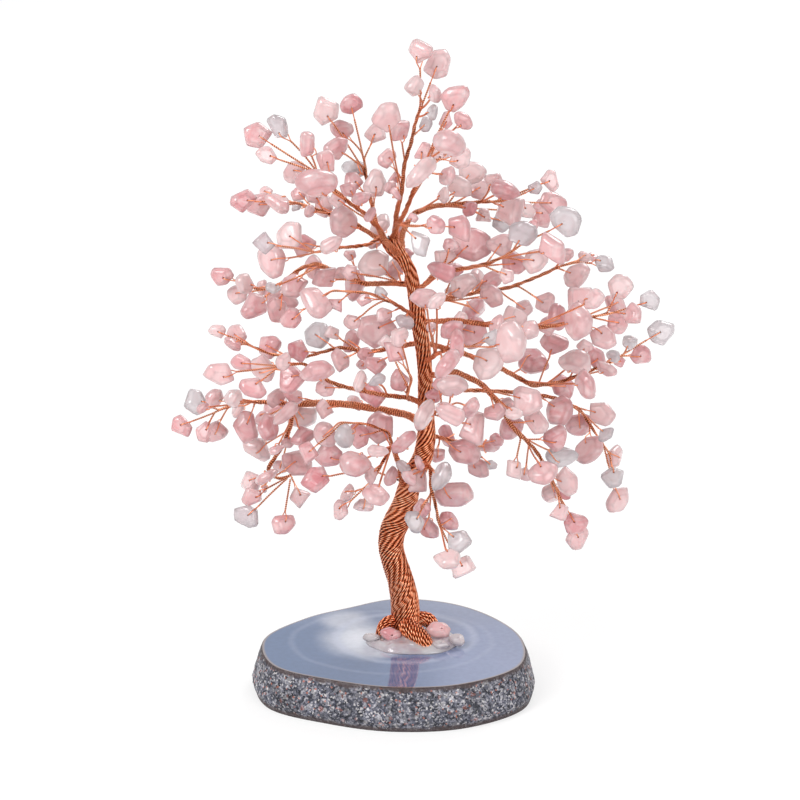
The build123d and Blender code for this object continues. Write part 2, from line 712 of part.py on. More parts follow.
def seat(entry, limb):
    """How near a chip shows to a limb in the picture, and the limb's depth there."""
    depth = limb.points[-1][1]
    for attempt in range(2):
        along, near = limb.nearest(place(entry[0], entry[1], depth))
        depth = limb.at(along)[1]
    return near, depth, limb


def lay_chips(owner, limbs, table, swing, laid, draw):
    """Hang each chip at the depth nearest its limb's where it is clear of the rest."""
    chips = []
    for entry in table:
        near, depth, limb = min((seat(entry, limb) for limb in limbs), key=lambda found: found[0])
        depth += draw.uniform(-scatter_depth, scatter_depth)
        seed = draw.random()
        found = None
        for k in range(search_count):
            step = search_step * ((k + 1) // 2) * (-1 if k % 2 else 1)
            chip = Chip(entry, depth + step, limb, Random(seed + k))
            if clear_of_all(chip, owner, swing, laid):
                found = chip
                break
        if found is None:
            print("no room for the chip at", entry, "of", owner)
            continue
        chips.append(found)
        found.limb.leaving.append(found.leave)
        body, wires = found.rods(owner)
        laid.extend(turned_rods([body] + wires, swing))
    return chips


def limb_rods(limbs, owner, swing):
    rods = []
    for limb in limbs:
        for k in range(len(limb.points) - 1):
            rods.append(Rod(limb.points[k], limb.points[k + 1], limb_room_radius, owner, "wire"))
    return turned_rods(rods, swing)


# Lay the whole tree out: limbs first, then the chips of the bending twigs
# over their whole range, then the chips of the branches that stand fast.
draw = Random(random_seed)
laid = []
for k in range(len(trunk_axis) - 1):
    radius = max(trunk_radii[k], trunk_radii[k + 1])
    laid.append(Rod(trunk_axis[k], trunk_axis[k + 1], radius, "trunk", "wire"))

hinged = {entry[2]: name for name, entry in twigs.items()}
limbs_of, chips_of, swing_of = {}, {}, {}
for name, (lines, table) in branches.items():
    limbs_of[name] = []
    for k, line in enumerate(lines):
        points = [place(across, down, depth * depth_step) for across, down, depth in line]
        on_trunk = line[0][2] == 0
        if on_trunk:
            points[0] = trunk_seat(points[1], points[0])
        else:
            main_limb = limbs_of[name][0]
            points[0] = main_limb.at(main_limb.nearest(points[0])[0])
        free_end = ball_neck if (name, k) in hinged else 0.0
        limbs_of[name].append(Limb(points, foot_clear if on_trunk else 0.0, free_end))
    swing_of[name] = None
    laid.extend(limb_rods(limbs_of[name], name, None))
for name, (lines, table, carrier, limit) in twigs.items():
    limbs_of[name] = []
    for k, line in enumerate(lines):
        points = [place(across, down, depth * depth_step) for across, down, depth in line]
        limbs_of[name].append(Limb(points, ball_neck if k == 0 else 0.0, 0.0))
    swing_of[name] = (limbs_of[name][0].points[0], limit)
    laid.extend(limb_rods(limbs_of[name], name, swing_of[name]))
for name, entry in list(twigs.items()) + list(branches.items()):
    chips_of[name] = lay_chips(name, limbs_of[name], entry[1], swing_of[name], laid, draw)

# A limb is as thick as the pairs in it, those of its forks and of the twig
# at its end among them.
for (name, k), twig in hinged.items():
    limb = limbs_of[name][k]
    limb.leaving += [limb.lengths[-1]] * len(chips_of[twig])
for name in branches:
    stem_limb = limbs_of[name][0]
    for fork in limbs_of[name][1:]:
        along, near = stem_limb.nearest(fork.points[0])
        if near < fork_room:
            stem_limb.leaving += [along] * len(fork.leaving)


# From here on the layout is turned into solids.
def ball(middle, radius, towards):
    """A ball whose seam lies opposite to the run that leaves it."""
    plane = Plane(origin=middle, x_dir=span(towards, middle), z_dir=swing_axis)
    return Solid.make_sphere(radius, plane, angle1=-90, angle2=90)


def rod(start, end, start_radius, end_radius):
    plane = Plane(origin=start, z_dir=span(start, end))
    length = size(span(start, end))
    if abs(start_radius - end_radius) < wire_radius * same_radius_share:
        return Solid.make_cylinder(start_radius, length, plane)
    return Solid.make_cone(start_radius, end_radius, length, plane)


def chip_solid(chip, drilled):
    half, girdle = chip.thickness / 2, chip.thickness * chip_girdle_share
    rings = [
        [chip.at(spot, half) for spot in chip.flats[0]],
        [chip.at(spot, girdle) for spot in chip.outline],
        [chip.at(spot, -girdle) for spot in chip.outline],
        [chip.at(spot, -half) for spot in chip.flats[1]],
    ]
    faces = [Face(Wire.make_polygon(rings[0])), Face(Wire.make_polygon(rings[-1]))]
    for upper, lower in zip(rings, rings[1:]):
        for k in range(len(upper)):
            corners = [upper[k - 1], upper[k], lower[k], lower[k - 1]]
            faces.append(Face(Wire.make_polygon(corners)))
    solid = Solid(Shell(faces))
    if drilled:
        ends = [chip.at(chip.hole, height) for height in (-chip.thickness, chip.thickness)]
        solid = solid.cut(rod(ends[0], ends[1], wire_radius + hole_clearance, wire_radius + hole_clearance))
    return solid


def loop_solid(chip):
    path = FilletPolyline(*chip.loop, radius=loop_bend)
    return sweep(Plane(origin=path @ 0, z_dir=path % 0) * Circle(wire_radius), path=path).solid()


def limb_solids(limb):
    """Runs from place to place, with a wrapped knuckle over each bend."""
    solids = []
    radii = [limb.radius(distance) for distance in limb.lengths]
    ways = [unit(span(start, end)) for start, end in zip(limb.points, limb.points[1:])]
    for k, way in enumerate(ways):
        solids.append(rod(limb.points[k], limb.points[k + 1], radii[k], radii[k + 1]))
        if k > 0:
            along = unit(moved(ways[k - 1], way, 1.0))
            lean = dot(along, way)
            slope = sqrt(1.0 - min(1.0, lean * lean))
            half = radii[k] * (knuckle_length_share + slope)
            thick = (radii[k] * knuckle_radius_share + half * slope) / lean
            ends = [moved(limb.points[k], along, half * end) for end in (-1, 1)]
            solids.append(rod(ends[0], ends[1], thick, thick))
    return solids


def wire_solids(name):
    """All the wire of one branch or twig, fused where it is twisted together."""
    limbs = limbs_of[name]
    solids = []
    for limb in limbs:
        solids += limb_solids(limb)
    if name in twigs:
        solids.append(ball(limbs[0].points[0], ball_radius, limbs[0].points[1]))
    for chip in chips_of[name]:
        end = moved(chip.tip, chip.stem_way, wire_radius)
        solids.append(rod(chip.base, end, pair_radius, pair_radius))
        solids.append(loop_solid(chip))
    fused = solids[0].fuse(*solids[1:])
    for k, limb in enumerate(limbs):
        if (name, k) in hinged:
            fused = fused.cut(ball(limb.points[-1], ball_radius + ball_gap, limb.points[-2]))
    return fused


def tapered_tube(places):
    """A smooth round bundle through places that each hold a radius."""
    points = [Vector(x, y, z) for x, y, z, radius in places]
    sections = []
    for k, spot in enumerate(points):
        before, after = points[max(0, k - 1)], points[min(len(points) - 1, k + 1)]
        sections.append(Plane(origin=spot, z_dir=after - before) * Circle(places[k][3]))
    return loft(sections).solid()


def ring(middle, radius, shares, height, spread):
    """A closed smooth outline at one height, a spread outside its shares of a radius."""
    points = []
    for k, share in enumerate(shares):
        angle = 2 * pi * k / len(shares)
        reach = radius * share + spread
        points.append((middle[0] + reach * cos(angle), middle[1] + reach * sin(angle), height))
    return Wire([Edge.make_spline(points, periodic=True)])


def agate_solid():
    steps = [
        (0.0, agate_underside_spread), (agate_belly_height, agate_belly_spread),
        (agate_shoulder_height, agate_shoulder_spread),
        (agate_thickness - agate_rim_drop, agate_rim_spread), (agate_thickness, 0.0),
    ]
    rings = [ring((0.0, 0.0), agate_radius, agate_outline_shares, height, spread) for height, spread in steps]
    return Solid.make_loft(rings, ruled=True)


def resin_solid():
    rings = []
    for height_share, reach_share in resin_steps_shares:
        height = agate_thickness + resin_height * height_share
        rings.append(ring(resin_middle, resin_radius * reach_share, resin_outline_shares, height, 0.0))
    return Solid.make_loft(rings, ruled=True)


def foot_chip(x, y, height, length, tilt, turn, draw):
    """A loose chip lying on the slice: a drilled chip without its wire."""
    entry = (stand_pixel[0], stand_pixel[1], length / pixel_size, tilt)
    side_limb = Limb([(x - length, y, agate_thickness), (x - length, y, agate_thickness + length)], 0.0, 0.0)
    chip = Chip(entry, 0.0, side_limb, draw)
    chip.middle = (x, y, agate_thickness + height)
    turned_way = Vector(0, 0, 1).rotate(Axis.X, turn)
    chip.face = tuple(turned_way)
    lengthways = (cos(radians(tilt)), sin(radians(tilt)), 0.0)
    chip.long = unit(moved(lengthways, chip.face, -dot(lengthways, chip.face)))
    chip.side = cross(chip.face, chip.long)
    return chip_solid(chip, False)


def write(name, solids):
    export_step(Compound(solids), "parts/" + name + ".step", write_pcurves=False)
    print(name, len(solids))


def cut_by(solid, tools):
    """What is left of a solid around other pieces, as its largest lump."""
    for tool in tools:
        solid = solid.cut(tool)
    return max(solid.solids(), key=lambda lump: lump.volume)


trunk_places = [(*spot, radius) for spot, radius in zip(trunk_axis, trunk_radii)]
trunk = tapered_tube(trunk_places)
floor_block = Box(agate_radius, agate_radius, agate_thickness, align=(Align.CENTER, Align.CENTER, Align.MIN))
trunk = cut_by(trunk, [floor_block])
sockets = []
for name in branches:
    for k, line in enumerate(branches[name][0]):
        if line[0][2] == 0:
            start, end = limbs_of[name][k].points[:2]
            radius = limbs_of[name][k].radius(0.0) + socket_clearance
            start = moved(start, unit(span(start, end)), -socket_clearance)
            sockets.append(rod(start, end, radius, radius))
trunk = cut_by(trunk, sockets)

roots = {}
root_lines = {"root_left": root_left_line, "root_front": root_front_line, "root_right": root_right_line}
for name, line in root_lines.items():
    places = [(x, y, agate_thickness + height, radius) for x, y, height, radius in line]
    roots[name] = cut_by(tapered_tube(places), [trunk, floor_block])
chip_draw = Random(random_seed)
rose = [foot_chip(*entry, chip_draw) for entry in root_rose_table]
clear = [foot_chip(*entry, chip_draw) for entry in root_clear_table]
resin = cut_by(resin_solid(), [trunk, *roots.values(), *rose, *clear])

write("agate_slice", [agate_solid()])
write("resin_pool", [resin])
write("root_stones", rose)
write("root_crystals", clear)
write("trunk", [trunk])
for name, root in roots.items():
    write(name, [root])
for name in limbs_of:
    write(name + "_wire", wire_solids(name).solids())
    write(name + "_stones", [chip_solid(chip, True) for chip in chips_of[name]])
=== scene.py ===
import bpy
import numpy as np
from math import ceil, cos, pi, radians, sin, sqrt
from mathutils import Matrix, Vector, noise
from random import Random


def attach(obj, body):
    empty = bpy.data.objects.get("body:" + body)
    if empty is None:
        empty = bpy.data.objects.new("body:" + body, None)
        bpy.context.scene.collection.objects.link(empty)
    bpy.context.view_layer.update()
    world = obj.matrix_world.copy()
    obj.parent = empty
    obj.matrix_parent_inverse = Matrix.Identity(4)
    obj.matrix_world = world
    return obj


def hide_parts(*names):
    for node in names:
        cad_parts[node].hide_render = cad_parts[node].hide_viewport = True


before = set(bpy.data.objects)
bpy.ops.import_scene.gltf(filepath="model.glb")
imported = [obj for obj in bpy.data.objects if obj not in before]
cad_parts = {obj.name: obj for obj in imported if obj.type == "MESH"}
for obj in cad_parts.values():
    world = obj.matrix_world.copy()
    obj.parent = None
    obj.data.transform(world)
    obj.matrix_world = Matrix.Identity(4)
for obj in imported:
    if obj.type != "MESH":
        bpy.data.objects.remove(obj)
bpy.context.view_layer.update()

# The view. The ornament stands on a white table under soft lamps and is seen
# from a little above. Places on the tree are given in this picture: a pixel
# across, a pixel down, and a depth behind the trunk's plane. Lengths are in mm.
ornament_height = 198.0
height_pixels = 650
eye_tilt = 19.0
eye_distance = 1100.0
middle_pixel = (400.0, 400.0)
stand_pixel = (395.0, 686.7)
metres_per_mm = 0.001
sensor_width = 36.0
pixel_size = ornament_height * cos(radians(eye_tilt)) / height_pixels
picture_across = (1.0, 0.0, 0.0)
picture_up = (0.0, sin(radians(eye_tilt)), cos(radians(eye_tilt)))
picture_away = (0.0, cos(radians(eye_tilt)), -sin(radians(eye_tilt)))


def moved(a, way, distance):
    """A point moved along a direction."""
    return (a[0] + way[0] * distance, a[1] + way[1] * distance, a[2] + way[2] * distance)


aim_across = (middle_pixel[0] - stand_pixel[0]) * pixel_size
aim_up = (stand_pixel[1] - middle_pixel[1]) * pixel_size / cos(radians(eye_tilt))
eye = moved((aim_across, 0.0, aim_up), picture_away, -eye_distance)


def place(across, down, depth):
    """The point that shows at a pixel and lies so far behind the trunk's plane."""
    ray = moved((0.0, 0.0, 0.0), picture_away, eye_distance)
    ray = moved(ray, picture_across, (across - middle_pixel[0]) * pixel_size)
    ray = moved(ray, picture_up, (middle_pixel[1] - down) * pixel_size)
    return moved(eye, ray, (depth - eye[1]) / ray[1])


camera_optics = bpy.data.cameras.new("camera")
camera_optics.sensor_width = sensor_width
camera_optics.lens = sensor_width * eye_distance / (2 * middle_pixel[0] * pixel_size)
camera = bpy.data.objects.new("camera", camera_optics)
camera.location = [length * metres_per_mm for length in eye]
camera.rotation_euler = (radians(90.0 - eye_tilt), 0.0, 0.0)
bpy.context.scene.collection.objects.link(camera)
bpy.context.scene.camera = camera
bpy.context.scene.view_settings.view_transform = "Standard"

table_size = 3.0
table_white = 0.9
table_glow_share = 0.62
room_light = 0.75
pure_white = (1.0, 1.0, 1.0, 1.0)
table_mesh = bpy.data.meshes.new("table_top")
edge = table_size / 2
table_corners = [(-edge, -edge, 0), (edge, -edge, 0), (edge, edge, 0), (-edge, edge, 0)]
table_mesh.from_pydata(table_corners, [], [(0, 1, 2, 3)])
table_top = bpy.data.objects.new("table_top", table_mesh)
bpy.context.scene.collection.objects.link(table_top)


def node(tree, kind, **inputs):
    """A shader node with its sockets filled: a value, or another node's socket."""
    made = tree.nodes.new(kind)
    for name, value in inputs.items():
        socket = made.inputs[int(name[1:])] if name[1:].isdigit() else made.inputs[name.replace("_", " ")]
        if isinstance(value, bpy.types.NodeSocket):
            tree.links.new(value, socket)
        else:
            socket.default_value = value
    return made


def worked(tree, operation, *values):
    """The result of one sum on values."""
    made = node(tree, "ShaderNodeMath", **{"_" + str(k): value for k, value in enumerate(values)})
    made.operation = operation
    return made.outputs[0]


def seen_by(tree, *rays):
    """One where a ray is of a kind that is named, and nought elsewhere."""
    path = node(tree, "ShaderNodeLightPath")
    mask = path.outputs[rays[0]]
    for ray in rays[1:]:
        mask = worked(tree, "MAXIMUM", mask, path.outputs[ray])
    return mask


table_finish = bpy.data.materials.new("white_table")
table_finish.use_nodes = True
tree = table_finish.node_tree
tree.nodes.clear()
straight = seen_by(tree, "Is Camera Ray", "Is Glossy Ray", "Is Transmission Ray")
glow_share = worked(tree, "MULTIPLY", straight, table_glow_share)
cloth = node(tree, "ShaderNodeBsdfDiffuse", Color=(table_white, table_white, table_white, 1.0))
glow = node(tree, "ShaderNodeEmission", Strength=1.0)
both = node(tree, "ShaderNodeMixShader", Fac=glow_share, _1=cloth.outputs[0], _2=glow.outputs[0])
node(tree, "ShaderNodeOutputMaterial", Surface=both.outputs[0])
table_mesh.materials.append(table_finish)

world = bpy.data.worlds.new("white_room")
world.use_nodes = True
tree = world.node_tree
tree.nodes.clear()
straight = seen_by(tree, "Is Camera Ray", "Is Transmission Ray")
dim = node(tree, "ShaderNodeBackground", Color=pure_white, Strength=room_light)
full = node(tree, "ShaderNodeBackground", Color=pure_white, Strength=1.0)
both = node(tree, "ShaderNodeMixShader", Fac=straight, _1=dim.outputs[0], _2=full.outputs[0])
node(tree, "ShaderNodeOutputWorld", Surface=both.outputs[0])
bpy.context.scene.world = world


def lamp(name, place_m, aim_m, width, watts):
    """A square soft lamp that shines from one place at another."""
    light = bpy.data.lights.new(name, "AREA")
    light.size, light.energy = width, watts
    made = bpy.data.objects.new(name, light)
    made.location = place_m
    made.rotation_euler = Vector(np.subtract(aim_m, place_m)).to_track_quat("-Z", "Y").to_euler()
    bpy.context.scene.collection.objects.link(made)


tree_middle = (0.0, 0.0, 0.1)
lamp("window", (-0.7, -0.6, 0.95), tree_middle, 0.6, 9.0)
lamp("front_fill", (0.6, -1.0, 0.5), tree_middle, 0.8, 5.0)
lamp("back_rim", (0.5, 0.8, 0.9), tree_middle, 0.5, 5.0)


# Agate slice. A sawn slice of a whole nodule: the top is ground flat and
# polished, with bands that follow the outline, and the side keeps its rough
# speckled rind. The underside is sawn flat and stands on the table.
agate_radius = 40.0
agate_thickness = 13.0
agate_outline_shares = (0.93, 0.84, 0.81, 0.78, 0.7, 0.78, 0.96, 1.01, 0.89, 0.9, 0.97, 1.03)
agate_underside_spread = 2.0
agate_belly_height = 3.2
agate_belly_spread = 3.3
agate_shoulder_height = 9.5
agate_shoulder_spread = 1.7
agate_rim_drop = 0.7
agate_rim_spread = 0.6
agate_columns = 288
agate_under_shares = np.linspace(0.05, 0.98, 14)
agate_side_shares = np.linspace(0.0, 1.0, 26)
agate_top_shares = np.linspace(1.0, 0.01, 60)
rind_depth = 0.55
rind_lump_size = 0.35
rind_lump_fractal = (0.8, 2.0, 4)
rind_edge_steepness = 6
grain_scale = 2100.0
fine_grain_share = 0.45
fine_grain_mix = 0.3


def smooth_ring(middle, radius, shares, height, spread, count):
    """A smooth closed outline through points at even angles, as an array."""
    corners = []
    for k, share in enumerate(shares):
        angle, reach = 2 * pi * k / len(shares), radius * share + spread
        corners.append((middle[0] + reach * cos(angle), middle[1] + reach * sin(angle), height))
    corners = np.array(corners)
    place_on = np.arange(count) * len(shares) / count
    k, t = np.floor(place_on).astype(int), (place_on % 1.0)[:, None]
    a, b, c, d = (corners[(k + step) % len(shares)] for step in (-1, 0, 1, 2))
    return b + 0.5 * t * (c - a + t * (2 * a - 5 * b + 4 * c - d + t * (3 * (b - c) + d - a)))


def slice_ring(share, height, spread):
    """An outline of the slice, drawn in towards its middle by a share."""
    reach = agate_radius * share
    return smooth_ring((0.0, 0.0), reach, agate_outline_shares, height, spread, agate_columns)


def ring_quads(index):
    """Faces between rows of points that each close on themselves."""
    after = np.roll(index, -1, axis=1)
    return np.stack([index[:-1], after[:-1], after[1:], index[1:]], axis=-1).reshape(-1, 4)


def piece(name, points, quads, body, materials, nodes):
    """A mesh object in metres from points in mm, riding on a body and standing for CAD nodes."""
    mesh = bpy.data.meshes.new(name)
    mesh.vertices.add(len(points))
    mesh.vertices.foreach_set("co", (points * metres_per_mm).ravel())
    mesh.loops.add(quads.size)
    mesh.loops.foreach_set("vertex_index", quads.ravel())
    mesh.polygons.add(len(quads))
    mesh.polygons.foreach_set("loop_start", np.arange(0, quads.size, 4))
    mesh.polygons.foreach_set("use_smooth", np.full(len(quads), True))
    mesh.update(calc_edges=True)
    mesh.validate()
    for material in materials:
        mesh.materials.append(material)
    made = bpy.data.objects.new(name, mesh)
    bpy.context.scene.collection.objects.link(made)
    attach(made, body)
    if nodes:
        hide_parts(*nodes)
    return made


def attribute(made, name, values):
    """A number for each point of a piece, which its material reads."""
    carrier = made.data.attributes.new(name, "FLOAT", "POINT")
    carrier.data.foreach_set("value", np.asarray(values, np.float32))


rim_height = agate_thickness - agate_rim_drop
shoulder_heights = (0.0, agate_belly_height, agate_shoulder_height, rim_height, agate_thickness)
shoulder_spreads = (agate_underside_spread, agate_belly_spread, agate_shoulder_spread, agate_rim_spread, 0.0)
rows = [slice_ring(share, 0.0, agate_underside_spread * share) for share in agate_under_shares]
for share in agate_side_shares:
    height = agate_thickness * share
    row = slice_ring(1.0, height, np.interp(height, shoulder_heights, shoulder_spreads))
    wear = rind_depth * min(1.0, rind_edge_steepness * share, rind_edge_steepness * (1 - share))
    for point in row:
        dent = 0.5 + 0.5 * noise.fractal(Vector(point) * rind_lump_size, *rind_lump_fractal)
        inward = Vector((point[0], point[1], 0.0)).normalized() * wear * min(1.0, max(0.0, dent))
        point -= np.array(inward)
    rows.append(row)
first_top_row = len(rows) - 1
rows += [slice_ring(share, agate_thickness, 0.0) for share in agate_top_shares]
rim_distances = [0.0] * (first_top_row + 1) + [agate_radius * (1 - share) for share in agate_top_shares]
index = np.arange(len(rows) * agate_columns).reshape(len(rows), agate_columns)


def paint(red, green, blue):
    """A colour as a paint chart gives it, 0 to 255, as light."""
    return tuple(((part / 255 + 0.055) / 1.055) ** 2.4 for part in (red, green, blue)) + (1.0,)


def finished(name, plain):
    """A new material with plain numbers on its shader: itself, its tree, shader and place on the object."""
    made = bpy.data.materials.new(name)
    made.use_nodes = True
    tree = made.node_tree
    shader = tree.nodes["Principled BSDF"]
    for socket, value in plain.items():
        shader.inputs[socket].default_value = value
    return made, tree, shader, node(tree, "ShaderNodeTexCoord").outputs["Object"]


def ramp(tree, value, stops, interpolation="LINEAR"):
    """Colours along a value."""
    made = node(tree, "ShaderNodeValToRGB", Fac=value)
    made.color_ramp.interpolation = interpolation
    for k, (at, colour) in enumerate(stops):
        stop = made.color_ramp.elements[k] if k < 2 else made.color_ramp.elements.new(at)
        stop.position, stop.color = at, colour
    return made.outputs[0]


def mottle(tree, spot, scale, detail=2.0, distortion=0.0):
    """Soft uneven patches."""
    made = node(tree, "ShaderNodeTexNoise", Vector=spot, Scale=scale, Detail=detail, Distortion=distortion)
    return made.outputs[0]


def spread(tree, value, ends=(0.0, 1.0), to=(0.0, 1.0), interpolation="LINEAR"):
    """A value stretched from one range to another."""
    made = node(tree, "ShaderNodeMapRange", Value=value, From_Min=ends[0], From_Max=ends[1])
    made.inputs["To Min"].default_value, made.inputs["To Max"].default_value = to
    made.interpolation_type = interpolation
    return made.outputs[0]


def laid_over(tree, ground, colour, mask):
    """A colour laid over another through a mask."""
    made = node(tree, "ShaderNodeMix", Factor=mask)
    made.data_type = "RGBA"
    tree.links.new(ground, made.inputs[6])
    if isinstance(colour, bpy.types.NodeSocket):
        tree.links.new(colour, made.inputs[7])
    else:
        made.inputs[7].default_value = colour
    return made.outputs[2]


def dimmed(tree, colour, share):
    """A colour made darker or lighter by a share."""
    made = node(tree, "ShaderNodeVectorMath", _0=colour, _3=share)
    made.operation = "SCALE"
    return made.outputs[0]


def bumped(tree, height, strength, depth_m, shader):
    """Small dents on a surface."""
    made = node(tree, "ShaderNodeBump", Height=height, Strength=strength, Distance=depth_m)
    tree.links.new(made.outputs[0], shader.inputs["Normal"])


def carried(tree, name):
    """A number that the piece's points carry."""
    made = node(tree, "ShaderNodeAttribute")
    made.attribute_name = name
    return made.outputs["Fac"]


speckle_colours = (
    (0.0, paint(24, 24, 34)), (0.24, paint(52, 54, 68)), (0.46, paint(92, 94, 108)),
    (0.66, paint(134, 134, 146)), (0.82, paint(182, 180, 186)), (0.93, paint(216, 212, 212)),
    (0.975, paint(186, 112, 92)),
)
rind_brown = paint(62, 48, 48)
brown_shares = ((0.0, 0.9), (0.08, 0.8), (0.14, 0.0), (0.9, 0.0), (0.955, 0.85), (1.0, 0.9))
brown_wander_m = 0.0012
rind_bump_m = 0.0003
rind_bump_strength = 0.5
rind_patch_scale, rind_patch_shares = 110.0, (0.58, 1.06)
brown_edge_scale = 260.0
rind_roughness = (0.4, 0.85)
rind, tree, shader, spot = finished("agate_rind", {})
grains, speckles = [], []
for size_share in (1.0, fine_grain_share):
    grain = node(tree, "ShaderNodeTexVoronoi", Vector=spot, Scale=grain_scale * size_share)
    grains.append(node(tree, "ShaderNodeSeparateColor", Color=grain.outputs["Color"]))
    speckles.append(ramp(tree, grains[-1].outputs[0], speckle_colours, "CONSTANT"))
uneven = spread(tree, mottle(tree, spot, rind_patch_scale, 4.0), (0.35, 0.65), rind_patch_shares)
ground = dimmed(tree, laid_over(tree, speckles[0], speckles[1], fine_grain_mix), uneven)
ragged = spread(tree, mottle(tree, spot, brown_edge_scale, 3.0), to=(-brown_wander_m, brown_wander_m))
height = worked(tree, "ADD", node(tree, "ShaderNodeSeparateXYZ", Vector=spot).outputs[2], ragged)
height = spread(tree, height, (0.0, agate_thickness * metres_per_mm))
brown = ramp(tree, height, [(at, (share, share, share, 1.0)) for at, share in brown_shares])
tree.links.new(laid_over(tree, ground, rind_brown, brown), shader.inputs["Base Color"])
tree.links.new(spread(tree, grains[0].outputs[1], to=rind_roughness), shader.inputs["Roughness"])
bumped(tree, grains[0].outputs[2], rind_bump_strength, rind_bump_m, shader)

# The polished face: slate blue, paler to the right and the back, with a milky
# patch beside the foot and fine pale rings round it. A cloud has its middle,
# reaches, inner and outer edge, strength and colour, and a ring its width.
slate_colours = (
    (0.0, paint(78, 100, 136)), (0.55, paint(88, 106, 142)), (0.75, paint(122, 134, 166)),
    (1.0, paint(130, 140, 170)),
)
slate_ends_m = (-0.03, 0.034)
back_grey = paint(156, 162, 182)
back_ends_m = (0.006, 0.036)
back_strength = 0.55
rim_brown = paint(150, 134, 122)
rim_band_mm = (0.9, 0.2)
rim_strength = 0.75
cloud_wander, cloud_wander_scale = 0.3, 55.0
ring_wander_share = 0.22
vein_scale, vein_shares = 600.0, (0.94, 1.05)
face_clouds = (
    ((-9.0, -1.0), (15.0, 17.0), 0.35, 1.05, 0.9, paint(178, 183, 196)),
    ((-15.0, 15.0), (9.0, 9.0), 0.3, 1.1, 0.75, paint(184, 188, 200)),
    ((-10.0, 0.0), (8.5, 11.0), 0.1, 1.0, 0.75, paint(212, 217, 226)),
    ((-4.0, -10.0), (9.0, 6.0), 0.2, 1.0, 0.45, paint(204, 208, 218)),
)
face_rings = (
    ((3.0, 1.0), (20.0, 19.0), 0.12, 0.36, paint(176, 184, 206)),
    ((-1.0, -2.0), (29.5, 24.0), 0.06, 0.14, paint(170, 178, 202)),
)
face, tree, shader, spot = finished(
    "agate_polished_face", {"Roughness": 0.03, "Coat Weight": 0.6, "Coat IOR": 1.6, "Coat Roughness": 0.02},
)
wander = spread(tree, mottle(tree, spot, cloud_wander_scale, 5.0), to=(-cloud_wander, cloud_wander))


def far_from(middle, reach, wander_share):
    """How far a point of the face is from a place, in reaches across and along."""
    made = spot
    centre = [length * metres_per_mm for length in (*middle, agate_thickness)]
    narrowed = (1 / reach[0] / metres_per_mm, 1 / reach[1] / metres_per_mm, 0.0)
    for operation, amount in (("SUBTRACT", centre), ("MULTIPLY", narrowed)):
        step = node(tree, "ShaderNodeVectorMath", _0=made, _1=amount)
        step.operation = operation
        made = step.outputs[0]
    long = node(tree, "ShaderNodeVectorMath", _0=made)
    long.operation = "LENGTH"
    return worked(tree, "ADD", long.outputs["Value"], worked(tree, "MULTIPLY", wander, wander_share))


sideways = node(tree, "ShaderNodeSeparateXYZ", Vector=spot)
ground = ramp(tree, spread(tree, sideways.outputs[0], slate_ends_m), slate_colours)
to_back = spread(tree, sideways.outputs[1], back_ends_m, (0.0, back_strength))
ground = laid_over(tree, ground, back_grey, to_back)
for middle, reach, inner, outer, strength, colour in face_clouds:
    far = far_from(middle, reach, 1.0)
    mask = spread(tree, far, (outer, inner), (0.0, strength), "SMOOTHSTEP")
    ground = laid_over(tree, ground, colour, mask)
for middle, reach, width, strength, colour in face_rings:
    off = worked(tree, "ABSOLUTE", worked(tree, "SUBTRACT", far_from(middle, reach, ring_wander_share), 1.0))
    mask = spread(tree, off, (width, 0.0), (0.0, strength), "SMOOTHSTEP")
    ground = laid_over(tree, ground, colour, mask)
skin = spread(tree, carried(tree, "rim_distance"), rim_band_mm, (0.0, rim_strength))
ground = laid_over(tree, ground, rim_brown, skin)
veins = spread(tree, mottle(tree, spot, vein_scale, 6.0), (0.3, 0.7), vein_shares)
tree.links.new(dimmed(tree, ground, veins), shader.inputs["Base Color"])

agate_materials = [rind, face]
points, quads = np.concatenate(rows), ring_quads(index)
agate = piece("agate_slice_stone", points, quads, "tree", agate_materials, ["agate_slice"])
attribute(agate, "rim_distance", np.repeat(rim_distances, agate_columns))
top_faces = np.arange(len(agate.data.polygons)) >= first_top_row * agate_columns
agate.data.polygons.foreach_set("material_index", top_faces.astype(int))


# Copper wire. Soft bright wire is doubled through each chip and twisted into a
# tight pair; the pairs of many chips are twisted together again into limbs.
wire_radius = 0.16
pair_radius = 2 * wire_radius
random_seed = 16
twist_pitch = 1.25
steps_a_twist = 6
strand_sides = 5
strand_stretch = 1.29
# Painted light on the copper: how much painted shade stays in the groove of each strand, and on a bundle's
# side towards its core.
crease_painted_shade_floor = 0.44
bundle_shade_share = 0.06
bundle_crest = 1.4
# The bundle's heart carries a fixed, dark painted shade.
heart_painted_shade = 0.12
heart_stride = 4
odd_direction = (0.35, 0.88, 0.31)
# The copper's colour is painted light. Its ramp runs from dark painted shade in the creases to bright
# painted highlight on the crests, by the value each point carries, with a random tarnish added.
copper_painted_light_colours = (
    (0.0, paint(66, 20, 8)), (0.35, paint(180, 80, 44)), (0.65, paint(238, 140, 96)),
    (1.0, paint(254, 200, 164)),
)
dulling_scale, dulling_shares = 150.0, (-0.14, 0.1)
handling_scale, copper_roughness = 500.0, (0.22, 0.44)
copper, tree, shader, spot = finished("bright_copper", {"Metallic": 1.0})
dulled = spread(tree, mottle(tree, spot, dulling_scale, 3.0), (0.3, 0.7), dulling_shares)
painted_light_and_tarnish = worked(tree, "ADD", carried(tree, "openness"), dulled)
tree.links.new(ramp(tree, painted_light_and_tarnish, copper_painted_light_colours), shader.inputs["Base Color"])
handled = spread(tree, mottle(tree, spot, handling_scale), to=copper_roughness)
tree.links.new(handled, shader.inputs["Roughness"])


def span(a, b):
    """The way from one point to another."""
    return (b[0] - a[0], b[1] - a[1], b[2] - a[2])


def size(a):
    """The length of a way."""
    return sqrt(a[0] * a[0] + a[1] * a[1] + a[2] * a[2])


def unit(a):
    """The same direction, one long."""
    length = size(a)
    return (a[0] / length, a[1] / length, a[2] / length)


def blend(a, b, share):
    """A point on the way from one to another."""
    return moved(a, span(a, b), share)


